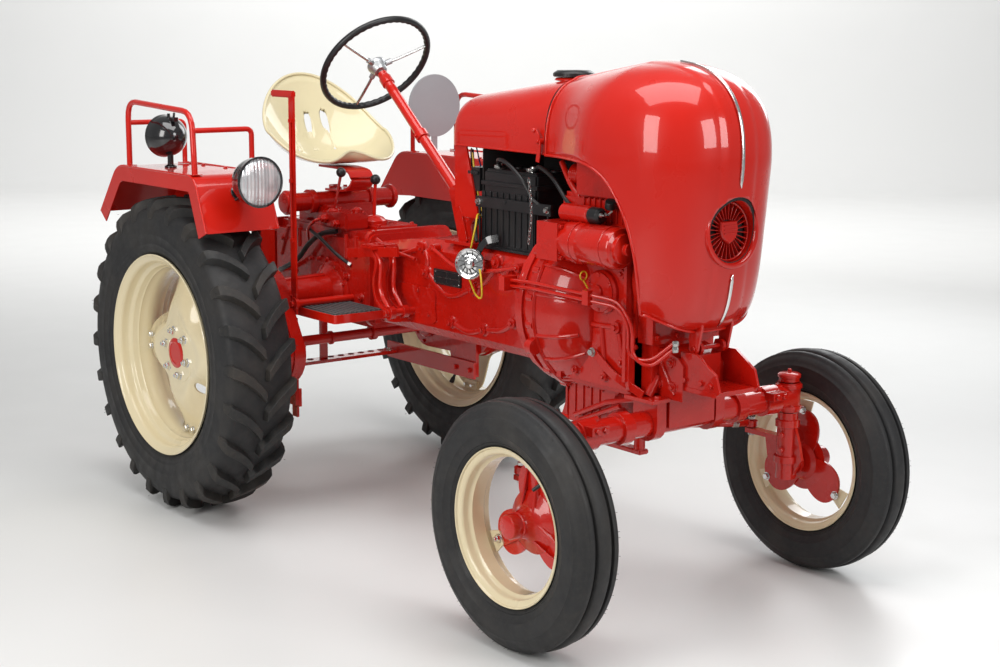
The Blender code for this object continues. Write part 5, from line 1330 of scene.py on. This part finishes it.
def engine():
    """Covers, starter, duct, exhaust, pipes and sump."""
    block = Piece("engine_details", red_cast)
    for s in (-1, 1):
        block.plate([(-1.372, 0.61), (-1.372, 1.04), (-1.392, 1.04), (-1.392, 0.61)],
            *sorted((s * 0.148, s * 0.168)))
        block.plate([(-1.652, 0.64), (-1.652, 1.02), (-1.64, 1.02), (-1.64, 0.64)],
            *sorted((s * 0.148, s * 0.166)))
        block.lathe([(0.06, -0.004), (0.06, 0.012), (0.054, 0.018), (0.054, 0.022), (0.02, 0.024), (0.02, 0.032),
            (0.0001, 0.033)], (s * 0.148, -1.546, 0.872), (s, 0, 0), 56)
        bolt_round(block, 6, (s * 0.1655, -1.546, 0.872), 0.0475, s, 0.006, 0.0055)
        for y, z, r in ((-1.479, 0.774, 0.017), (-1.605, 0.782, 0.017), (-1.42, 0.7, 0.014), (-1.42, 0.84, 0.014),
                (-1.63, 0.69, 0.014), (-1.625, 0.93, 0.013), (-1.44, 0.64, 0.013), (-1.56, 0.64, 0.013)):
            boss(block, s * 0.149, y, z, r, 0.014, r * 0.5, s)
        for a, b in (((-1.479, 0.774), (-1.605, 0.782)), ((-1.479, 0.774), (-1.42, 0.7)),
                ((-1.479, 0.774), (-1.42, 0.84)), ((-1.605, 0.782), (-1.63, 0.69)),
                ((-1.54, 0.776), (-1.56, 0.64)), ((-1.42, 0.7), (-1.44, 0.64))):
            block.tube([(s * 0.15, *a), (s * 0.15, *b)], 0.008, 12)
    flange(block, -1.654, 0.16, 0.606, 0.76, 0.012)
    block.lathe([(0.15, 0), (0.15, 0.02), (0.14, 0.03), (0.138, 0.075), (0.12, 0.085), (0.04, 0.09),
        (0.0001, 0.09)], (0, -1.655, 0.92), (0, -1, 0), 64)
    block.box((-0.128, -1.716, 0.746), (0.128, -1.655, 0.85))
    block.box((-0.112, -1.7, 0.61), (0.112, -1.655, 0.75))
    for x in (-0.11, -0.04, 0.04, 0.11):
        block.bolt((x, -1.716, 0.765), (0, -1, 0), 0.007, 0.006)
    for x in (-0.14, -0.07, 0.07, 0.14):
        block.bolt((x, -1.66, 0.735), (0, -1, 0), 0.007, 0.006)
    block.done(bevel=0.0016, angle=38)

    starter = Piece("starter_motor", red_cast)
    starter.lathe([(0.03, 0), (0.052, 0.002), (0.055, 0.008), (0.055, 0.066), (0.053, 0.07), (0.053, 0.074),
        (0.055, 0.078), (0.055, 0.2), (0.052, 0.206), (0.04, 0.21), (0.04, 0.222), (0.016, 0.226), (0.016, 0.238),
        (0.0001, 0.24)], (-0.208, -1.47, 1.006), (0, -1, 0), 56)
    starter.box((-0.262, -1.478, 0.955), (-0.15, -1.392, 1.058))
    starter.box((-0.16, -1.66, 0.97), (-0.145, -1.4, 1.045))
    for x in (-0.25, -0.166):
        for z in (0.964, 1.048):
            starter.bolt((x, -1.478, z), (0, -1, 0), 0.0065, 0.006)
    for y in (-1.52, -1.64):
        starter.collar((0.055, 0.006), (0.0575, 0.005), (-0.208, y, 1.006), (0, 1, 0), 56)
    starter.done(bevel=0.0014, angle=38)
    solenoid = Piece("starter_solenoid", red_cast)
    solenoid.lathe([(0.02, 0), (0.024, 0.003), (0.024, 0.11), (0.021, 0.114)], (-0.196, -1.43, 1.082), (0, -1, 0),
        40)
    solenoid.done(bevel=0.001)
    cap = Piece("solenoid_cap", plastic)
    cap.lathe([(0.022, 0), (0.023, 0.004), (0.022, 0.034), (0.016, 0.042), (0.0001, 0.043)],
        (-0.196, -1.544, 1.082), (0, -1, 0), 40)
    cap.lathe([(0.016, 0), (0.014, 0.02), (0.0001, 0.022)], (-0.172, -1.59, 1.105), (-0.4, -0.4, 1), 28)
    cap.done(bevel=0.001)
    nuts = Piece("solenoid_studs", steel)
    for x in (-0.205, -0.187):
        nuts.rod((x, -1.586, 1.086), (x, -1.604, 1.086), 0.003, 12)
        nuts.bolt((x, -1.588, 1.086), (0, -1, 0), 0.0055, 0.004)
    nuts.bolt((-0.164, -1.518, 0.702), (-1, 0, 0), 0.01, 0.009)
    nuts.done()

    duct = Piece("air_duct", red_cast)
    duct.box((-0.15, -1.59, 1.125), (-0.06, -1.425, 1.222))
    duct.box((-0.04, -1.64, 1.125), (0.11, -1.4, 1.235))
    for k in range(7):
        duct.lathe([(0.026, 0), (0.031, 0.004), (0.026, 0.008)], (-0.105, -1.425 + 0.008 * k, 1.175), (0, 1, 0),
            32)
    duct.lathe([(0.07, 0), (0.07, 0.012), (0.052, 0.026), (0.05, 0.075), (0.06, 0.08), (0.06, 0.088),
        (0.0001, 0.092)], (0.035, -1.52, 1.232), (0, 0, 1), 48)
    duct.tube(smooth_path([(-0.11, -1.317, 1.205), (-0.13, -1.38, 1.15), (-0.135, -1.442, 1.1)], 6), 0.009, 14)
    for k in range(9):
        duct.box((-0.155, -1.64 + k * 0.022, 1.06), (0.155, -1.634 + k * 0.022, 1.122))
    duct.done(bevel=0.0014, angle=38)

    exhaust = Piece("exhaust_and_manifold", red_cast)
    for y in (-1.43, -1.52, -1.61):
        exhaust.tube(rounded([(0.148, y, 1.04), (0.19, y, 1.04), (0.196, y + 0.02, 1.01)], 0.02), 0.02, 16)
        exhaust.lathe([(0.03, 0), (0.03, 0.007)], (0.15, y, 1.04), (1, 0, 0), 24)
    exhaust.tube([(0.196, -1.64, 1.004), (0.196, -1.38, 1.004)], 0.027, 24)
    exhaust.tube(rounded([(0.196, -1.39, 1.004), (0.196, -1.3, 0.96), (0.2, -1.24, 0.7), (0.205, -1.2, 0.56)],
        0.06), 0.022, 20)
    exhaust.lathe([(0.022, 0), (0.045, 0.012), (0.048, 0.03), (0.048, 0.21), (0.045, 0.228), (0.022, 0.24),
        (0.022, 0.3), (0.019, 0.3)], (0.205, -1.195, 0.56), (0, 1, -0.12), 40)
    exhaust.done(bevel=0.001, angle=38)

    pipes = Piece("fuel_pipes", red)
    for shift in (0.0, 0.016):
        pipes.tube(rounded([(-0.176, -1.12 - shift, 0.868 - shift), (-0.235, -1.24, 0.874 - shift),
            (-0.256, -1.379, 0.884 - shift), (-0.222, -1.56, 0.872 - shift), (-0.186, -1.646, 0.861 - shift),
            (-0.176, -1.69 + shift, 0.8), (-0.174, -1.688 + shift, 0.716), (-0.15, -1.73, 0.69 + shift),
            (-0.11, -1.775, 0.742 + shift)], 0.03, 6), 0.0052, 12)
    for x, y, z in ((-0.262, -1.24, 0.866), (-0.232, -1.56, 0.864)):
        pipes.box((x, y - 0.012, z - 0.02), (-0.215, y + 0.012, z + 0.02))
    pipes.done(bevel=0.0006)
    fittings = Piece("pipe_fittings", steel)
    for z in (0.742, 0.758):
        fittings.lathe([(0.009, 0), (0.009, 0.012), (0.007, 0.015)], (-0.11, -1.775, z), (0.55, -0.75, 0.1), 6)
    fittings.done(bevel=0.0005)
    dip = Piece("dipstick_ring", yellow)
    dip.tube([(-0.196 + 0.012 * cos(tau * i / 20), -1.513, 0.915 + 0.012 * sin(tau * i / 20)) for i in range(20)],
        0.002, 8, closed=True)
    dip.rod((-0.196, -1.513, 0.903), (-0.18, -1.513, 0.88), 0.0026, 10)
    dip.done()
    strap = Piece("engine_straps", red_cast)
    strap.tube(rounded([(-0.16, -1.518, 0.702), (-0.166, -1.6, 0.655), (-0.14, -1.697, 0.61)], 0.02), 0,
        flat=(0.024, 0.005), up=(1, 0, 0))
    strap.tube([(-0.12, -1.4, 0.5), (-0.128, -1.541, 0.561), (-0.1, -1.66, 0.59)], 0.0075, 12)
    strap.tube([(-0.12, -1.415, 0.486), (-0.12, -1.586, 0.557)], 0.0065, 12)
    strap.done(bevel=0.0008)
    pan = Piece("sump_details", red_cast)
    flange_line = [(-0.116, -1.575), (0.116, -1.575), (0.116, -1.345), (-0.116, -1.345)]
    pan.plate(flange_line, 0.588, 0.599, "Z")
    for x in (-0.108, 0.108):
        for y in (-1.56, -1.5, -1.44, -1.365):
            pan.bolt((x, y, 0.588), (0, 0, -1), 0.006, 0.005)
    for k in range(5):
        pan.box((-0.109, -1.345 - 0.034 * k - 0.008, 0.486), (0.109, -1.345 - 0.034 * k, 0.588))
    pan.lathe([(0.016, 0), (0.016, 0.006), (0.011, 0.007), (0.011, 0.016)], (0, -1.41, 0.474), (0, 0, -1), 6)
    pan.done(bevel=0.001, angle=38)


# ---- front axle ----
KINGPIN_X, AXLE_Z, DROP_ARM_Y, STEER_ARM = 0.441, 0.53, -1.54, 0.14


def front_end():
    """Pedestal, axle, knuckle and tie rod details."""
    ped = Piece("pedestal_details", red_cast)
    for s in (-1, 1):
        plate = [(-1.775, 0.745), (-1.835, 0.745), (-1.905, 0.7), (-1.92, 0.655), (-1.9, 0.64), (-1.8, 0.64),
            (-1.775, 0.655)]
        ped.plate([(y + 0.004, z - 0.012) for y, z in plate], *sorted((s * 0.068, s * 0.076)))
        for y, z in ((-1.79, 0.66), (-1.85, 0.66), (-1.885, 0.66)):
            ped.bolt((s * 0.076, y, z), (s, 0, 0), 0.008, 0.007)
        for y, z in ((-1.7, 0.7), (-1.745, 0.7), (-1.7, 0.635), (-1.755, 0.635)):
            boss(ped, s * 0.084, y, z, 0.013, 0.008, 0.007, s)
        ped.tube([(s * 0.085, -1.69, 0.725), (s * 0.085, -1.76, 0.615)], 0.007, 12)
        saddle = [(-1.74, 0.6), (-1.742, 0.535)] + [(-1.694 + 0.048 * cos(a), AXLE_Z + 0.048 * sin(a))
            for a in [radians(180 + 18 * i) for i in range(11)]] + [(-1.646, 0.535), (-1.648, 0.6)]
        ped.plate(saddle, *sorted((s * 0.094, s * 0.128)))
        for y in (-1.734, -1.654):
            ped.bolt((s * 0.122, y, 0.6), (0, 0, 1), 0.01, 0.01)
        ped.box((s * 0.12 - 0.034, -1.75, 0.594), (s * 0.12 + 0.034, -1.638, 0.604))
        ped.tube([(s * 0.12, -1.694, 0.604), (s * 0.085, -1.694, 0.655)], 0.014, 16)
    ped.box((-0.078, -1.905, 0.63), (0.078, -1.788, 0.642))
    ped.box((-0.045, -1.8, 0.652), (0.045, -1.788, 0.722))
    ped.done(bevel=0.0014, angle=38)

    axle = Piece("front_axle_details", red_cast)
    for s in (-1, 1):
        axle.collar((0.0352, 0.02), (0.044, 0.018), (s * 0.215, FRONT_Y, AXLE_Z), (1, 0, 0), 40)
        axle.lathe([(0.0352, -0.05), (0.0425, -0.047), (0.0425, 0.01), (0.0352, 0.014)],
            (s * 0.365, FRONT_Y, AXLE_Z), (s, 0, 0), 40)
        for x in (0.325, 0.352):
            axle.lathe([(0.014, 0), (0.013, 0.02)], (s * x, FRONT_Y - 0.04, 0.552), (0, -1, 0), 24)
            axle.bolt((s * x, FRONT_Y - 0.06, 0.552), (0, -1, 0), 0.0085, 0.008)
        axle.box((s * 0.34 - 0.03, FRONT_Y - 0.062, 0.54), (s * 0.34 + 0.03, FRONT_Y - 0.03, 0.564))
        for z in (0.562, 0.5):
            axle.collar((0.0342, 0.006), (0.0385, 0.005), (s * KINGPIN_X, FRONT_Y, z), (0, 0, 1), 40)
        axle.tube([(s * 0.404, FRONT_Y, 0.56), (s * 0.3, FRONT_Y, 0.566)], 0.01, 14)
    axle.done(bevel=0.0012, angle=38)
    for side, word in SIDES:
        body = f"knuckle_{word}"
        k = Piece(f"knuckle_details_{word}", red_cast, body)
        k.lathe([(0.03, 0), (0.0335, 0.002), (0.0335, 0.01), (0.027, 0.014), (0.01, 0.016)],
            (KINGPIN_X, FRONT_Y, 0.586), (0, 0, 1), 40, side=side)
        for outer, z in ((0.0355, 0.452), (0.0365, 0.345)):
            k.collar((0.0305, 0.012), (outer, 0.01), (KINGPIN_X, FRONT_Y, z), (0, 0, 1), 40, side=side)
        web = [(FRONT_Y - 0.03, 0.3), (FRONT_Y - 0.062, 0.35), (FRONT_Y - 0.05, 0.4), (FRONT_Y - 0.028, 0.455)]
        k.plate(web, 0.436, 0.446, side=side)
        k.plate([(FRONT_Y + 0.028, 0.3), (FRONT_Y + 0.07, 0.34), (FRONT_Y + 0.08, 0.394),
            (FRONT_Y + 0.028, 0.394)], 0.436, 0.446, side=side)
        k.lathe([(0.0275, 0), (0.034, 0.002), (0.034, 0.01), (0.0275, 0.014)], (0.47, FRONT_Y, FRONT_R),
            (1, 0, 0), 40, side=side)
        for z in (0.375, 0.42):
            k.bolt((KINGPIN_X - 0.0305, FRONT_Y - 0.008, z), (-1, -0.2, 0), 0.0085, 0.008, side=side)
        k.bolt((KINGPIN_X, FRONT_Y, 0.602), (0, 0, 1), 0.006, 0.008, side=side)
        k.done(bevel=0.0012, angle=38)
        pin = Piece(f"steering_pin_{word}", steel, body)
        for low, high, z in ((0, 0.008, 0.436), (-0.008, 0, 0.396)):
            pin.lathe([(0.0105, low), (0.0105, high)], (KINGPIN_X, FRONT_Y + STEER_ARM, z), (0, 0, 1), 6,
                side=side)
        pin.done(bevel=0.0005)
        rod_body = f"tie_rod_{word}"
        tie = Piece(f"tie_rod_details_{word}", steel, rod_body)
        level = 0.0 if side == -1 else 0.024
        a = Vector((0.0, DROP_ARM_Y + STEER_ARM, 0.423 + level))
        b = Vector((KINGPIN_X, FRONT_Y + STEER_ARM, 0.423))
        d = (b - a).normalized()
        for at in (0.055, (b - a).length - 0.055):
            centre = a + d * at
            tie.lathe([(0.0125, -0.01), (0.0125, 0.01)], centre, d, 6, side=side)
        tie.collar((0.0112, 0.028), (0.0122, 0.026), a + d * 0.13, d, 24, side=side)
        tie.done(bevel=0.0005)


# ---- rear of the tractor ----
LIFT_SHAFT = (-0.2, 0.545)


def rear_end():
    """Final drives, drawbar, lift, footsteps and pedals."""
    drive = Piece("final_drive_details", red_cast)
    for s in (-1, 1):
        for cy, cz, r in ((0, 0.516, 0.092), (-0.27, 0.54, 0.108), (-0.19, 0.7, 0.095)):
            drive.lathe([(r * 0.62, 0), (r * 0.62, 0.01), (r * 0.54, 0.016), (r * 0.2, 0.018), (0.0001, 0.018)],
                (s * 0.374, cy, cz), (-s, 0, 0), 48)
        outline = arc((-0.27, 0.54), 0.113, 170, 270, 16) + arc((0, 0.516), 0.097, -90, 60,
            20) + arc((-0.19, 0.7), 0.1, 40, 165, 18)
        drive.plate(outline, *sorted((s * 0.408, s * 0.42)))
        for y, z in outline[::4]:
            dy, dz = -0.15 - y, 0.59 - z
            n = hypot(dy, dz)
            y, z = y + dy / n * 0.022, z + dz / n * 0.022
            drive.bolt((s * 0.452, y, z), (s, 0, 0), 0.0075, 0.007)
            drive.bolt((s * 0.375, y, z), (-s, 0, 0), 0.0065, 0.006)
        for k in range(4):
            a = radians(20 + 90 * k)
            drive.tube([(s * 0.2, -0.19 + 0.066 * cos(a), 0.7 + 0.066 * sin(a)),
                (s * 0.36, -0.19 + 0.06 * cos(a), 0.7 + 0.06 * sin(a))], 0.006, 10)
    drive.done(bevel=0.0014, angle=38)
    bar = Piece("drawbar_details", red_cast)
    for side in (-1, 1):
        for x, y, way in ((0.352, -0.285, -1), (0.352, -0.205, -1), (0.363, 0.15, 1)):
            bar.bolt((side * x, y, 0.383), (side * way, 0, 0), 0.009, 0.008)
    bar.done(bevel=0.0008)
    # Black discs on top of and under the drawbar stand in for its holes: painted shade.
    holes = Piece("drawbar_hole_shadows", inner_dark)
    lips = Piece("drawbar_hole_rims", red_cast)
    for x in [k * 0.044 for k in range(-7, 8) if abs(k * 0.044 - 0.05) > 0.024]:
        for z, way in ((0.385, 1), (0.373, -1)):
            holes.lathe([(0.0001, 0), (0.011, 0), (0.011, 0.0006), (0.0001, 0.0006)], (x, 0.206, z),
                (0, 0, way), 32)
        lips.lathe([(0.0108, 0), (0.0128, 0), (0.012, 0.0014), (0.0108, 0.001)], (x, 0.206, 0.385), (0, 0, 1),
            32, loop=True)
    holes.done()
    lips.done()
    zinc = Piece("zinc_bolts", steel)
    for x in (-0.33, 0.33):
        zinc.bolt((x, 0.18, 0.385), (0, 0, 1), 0.01, 0.008)
    zinc.lathe([(0.019, 0), (0.019, 0.004)], (-0.361, -0.245, 0.56), (-1, 0, 0), 24)
    zinc.done(bevel=0.0006)
    shaft = Piece("lift_shaft_collars", red_cast)
    for x in (-0.345, -0.325, 0.325, 0.35, 0.0):
        shaft.collar((0.0172, 0.01), (0.0255, 0.009), (x, *LIFT_SHAFT), (1, 0, 0), 32)
    shaft.collar((0.017, 0.006), (0.023, 0.004), (-0.17, *LIFT_SHAFT), (1, 0, 0), 32)
    shaft.done(bevel=0.0008)
    places = [Vector((-0.3505, -0.262, 0.7 - k * 0.0145)) for k in range(7)]
    hanging_chain("lift_chain", places, 0.0045, 0.01, 14, 0.0017, 8)
    lever = Piece("lift_lever_details", red)
    lever.lathe([(0.022, -0.006), (0.022, 0.006)], (-0.372, -0.307, 0.694), (1, 0, 0), 32)
    lever.bolt((-0.378, -0.307, 0.694), (-1, 0, 0), 0.01, 0.008)
    lever.tube([(-0.372, -0.3, 0.72), (-0.36, -0.262, 0.712)], 0.006, 12)
    lever.tube([(-0.3785, -0.307, 0.9), (-0.3785, -0.307, 1.28)], 0.0035, 10)
    for z in (0.9, 1.09, 1.28):
        lever.box((-0.382, -0.315, z - 0.006), (-0.374, -0.299, z + 0.006))
    lever.done(bevel=0.0008)
    for side, word in SIDES:
        pads = Piece(f"step_pads_{word}", step_mat)
        for k in range(10):
            x = 0.166 + k * 0.0182
            pads.box((x, -0.5, 0.6795), (x + 0.0095, -0.292, 0.6845), side=side)
        pads.done(bevel=0.001)
        tray = Piece(f"step_tray_{word}", red)
        tray.tube(rounded([(0.152, -0.514, 0.668), (0.353, -0.514, 0.668), (0.353, -0.279, 0.668),
            (0.19, -0.279, 0.668)], 0.01), 0, flat=(0.0035, 0.028), side=side)
        tray.box((0.152, -0.505, 0.652), (0.345, -0.49, 0.66), side=side)
        tray.box((0.152, -0.305, 0.652), (0.345, -0.29, 0.66), side=side)
        tray.box((0.1502, -0.47, 0.63), (0.17, -0.43, 0.66), side=side)
        tray.done(bevel=0.0008)
    pedals = Piece("pedal_details", red_cast)
    for x in (-0.19, -0.24):
        pedals.tube(smooth_path([(x, -0.66, 0.7), (x, -0.598, 0.73), (x, -0.582, 0.79), (x, -0.596, 0.85),
            (x, -0.566, 0.893)], 8), 0, flat=(0.01, 0.026), up=(1, 0, 0))
        if x < -0.2:
            pedals.tube([(x, -0.7, 0.895), (x, -0.42, 0.862)], 0, flat=(0.03, 0.01), up=(1, 0, 0))
        else:
            pedals.box((x - 0.02, -0.6, 0.889), (x + 0.02, -0.52, 0.899))
        pedals.tube([(x + 0.004, -0.61, 0.88), (x + 0.004, -0.56, 0.78), (x + 0.004, -0.6, 0.72)], 0.0045, 10)
    for x in (-0.19, -0.24):
        for k in range(3):
            pedals.box((x - 0.022, -0.594 + 0.026 * k, 0.9), (x + 0.022, -0.582 + 0.026 * k, 0.9035))
        pedals.lathe([(0.02, -0.01), (0.02, 0.01)], (x, -0.66, 0.7), (1, 0, 0), 28)
    pedals.bolt((-0.256, -0.66, 0.7), (-1, 0, 0), 0.01, 0.007)
    pedals.done(bevel=0.001)
    spring = Piece("seat_spring_bolts", red)
    for x in (-0.028, 0.028):
        for y in (0.005, -0.045):
            spring.bolt((x, y, 1.0268), (0, 0, 1), 0.008, 0.006)
    spring.tube([(-0.02, 0.03, 1.03), (0.02, 0.03, 1.03)], 0.006, 10)
    spring.done(bevel=0.0008)


def fenders():
    """Rolled beads, bolts and pads."""
    for side, word in SIDES:
        bead = Piece(f"fender_beads_{word}", red)
        line = [(-0.333, 0.945), (-0.262, 1.117), (0.271, 1.117), (0.408, 0.952)]
        for x in (0.698, 0.4425):
            bead.tube(rounded([(x, y, z) for y, z in line], 0.045, 8), 0.0036, 10, side=side)
        for y in (-0.19, -0.05, 0.1, 0.21):
            bead.bolt((0.47, y, 1.1175), (0, 0, 1), 0.0065, 0.004, side=side)
        for y in (-0.225, 0.225):
            for x in (0.455, 0.657):
                bead.box((x, y - 0.018, 1.1172), (x + 0.035, y + 0.018, 1.12), side=side)
        bead.done(bevel=0.0008, angle=50)


gearbox()
clutch()
horn()
wiring()
battery()
flywheel()
engine()
front_end()
rear_end()
fenders()


# ---- the CAD parts that stay in sight ----
DRESSED = (
    (red_cast, "red_paint", "gearbox_housing clutch_housing flywheel_housing engine_block engine_sump "
     "front_pedestal front_axle steering_gear steering_arm knuckle_left knuckle_right final_drive_left "
     "final_drive_right cross_shaft lift_housing hydraulic_valve"),
    (red, "red_paint", "tie_rod_left tie_rod_right drawbar gear_lever brake_pedals lift_lever steering_column "
     "tank_support seat_spring fender_left fender_right fender_rail_left fender_rail_right"),
    (plastic, "black_plastic", "battery"),
    (grey, "grey_paint", "fender_reflector"),
    (step_mat, "step_rubber", "footstep_left footstep_right"),
)
for finish, slot, names in DRESSED:
    for name in names.split():
        dress(name, finish, slot)


# ---- stage ----
VIEW_YAW, VIEW_PITCH, VIEW_ROLL = 0.669585, 0.181517, 0.006741
VIEW_PLACE, LENS_MM = (-3.1066, -4.8285, 1.5635), 59.35


def soft_light(name, place, target, size, power, colour=(1, 1, 1)):
    """A rectangular area light aimed at a target."""
    data = bpy.data.lights.new(name, "AREA")
    data.shape = "RECTANGLE"
    data.size, data.size_y = size
    data.energy = power
    data.color = colour
    light = bpy.data.objects.new(name, data)
    bpy.context.scene.collection.objects.link(light)
    light.location = place
    light.rotation_euler = (Vector(target) - Vector(place)).to_track_quat("-Z", "Y").to_euler()


def studio():
    """Pale seamless floor and wall, one big soft light above and two at the sides."""
    sweep = [(-16.0, 0.0), (11.0, 0.0)]
    sweep += [(11.0 + 3.0 * sin(radians(a)), 3.0 - 3.0 * cos(radians(a))) for a in range(6, 91, 6)]
    sweep.append((14.0, 16.0))
    turn = Matrix.Rotation(-VIEW_YAW, 3, "Z")
    points = []
    for side in (-26, 26):
        points += [tuple(turn @ Vector((side, y, z))) for y, z in sweep]
    count = len(sweep)
    faces = [(i, i + 1, count + i + 1, count + i) for i in range(count - 1)]
    mesh = bpy.data.meshes.new("studio_floor")
    mesh.from_pydata(points, [], faces)
    mesh.shade_smooth()
    floor_paint = Finish("studio_floor_paint", (0.72, 0.72, 0.71), 0.42)
    floor_paint.tint(floor_paint.ramp(floor_paint.noise(1.3, 5, distortion=0.4), 0.4, 0.8, 0.0, 0.1),
        (0.7, 0.7, 0.69))
    floor_paint.rough(floor_paint.ramp(floor_paint.noise(3.0, 6), 0.3, 0.8, 0.36, 0.52))
    mesh.materials.append(floor_paint.material)
    floor = bpy.data.objects.new("studio_floor", mesh)
    bpy.context.scene.collection.objects.link(floor)
    world = bpy.data.worlds.new("studio")
    world.use_nodes = True
    world.node_tree.nodes["Background"].inputs["Color"].default_value = (0.93, 0.94, 0.95, 1)
    world.node_tree.nodes["Background"].inputs["Strength"].default_value = 0.3
    bpy.context.scene.world = world
    centre = (0.0, -0.1, 0.7)
    soft_light("overhead", (-0.6, -0.8, 4.4), centre, (4.2, 2.4), 125)
    soft_light("left_bank", (-4.2, -1.0, 2.5), centre, (1.6, 2.6), 95, (1.0, 0.985, 0.96))
    soft_light("front_bank", (0.8, -5.2, 2.6), centre, (1.6, 2.2), 80)
    soft_light("far_bank", (4.0, 1.2, 3.0), centre, (2.0, 3.0), 75, (0.97, 0.985, 1.0))
    soft_light("wall_wash", (3.6, 4.6, 6.5), (8.4, 10.6, 1.2), (11.0, 2.0), 950)


def camera():
    """The photo's camera: its place, its angles and its lens."""
    yaw, pitch, roll = VIEW_YAW, VIEW_PITCH, VIEW_ROLL
    ahead = Vector((sin(yaw) * cos(pitch), cos(yaw) * cos(pitch), -sin(pitch)))
    right = Vector((cos(yaw), -sin(yaw), 0))
    up = right.cross(ahead)
    level_right = right * cos(roll) + up * sin(roll)
    level_up = up * cos(roll) - right * sin(roll)
    data = bpy.data.cameras.new("camera")
    data.lens = LENS_MM
    data.sensor_width = 36
    data.clip_start, data.clip_end = 0.05, 90
    view = bpy.data.objects.new("camera", data)
    bpy.context.scene.collection.objects.link(view)
    place = Matrix((level_right, level_up, -ahead)).transposed().to_4x4()
    place.translation = Vector(VIEW_PLACE) + ORIGIN
    view.matrix_world = place
    bpy.context.scene.camera = view


studio()
camera()
bpy.context.scene.view_settings.view_transform = "Standard"
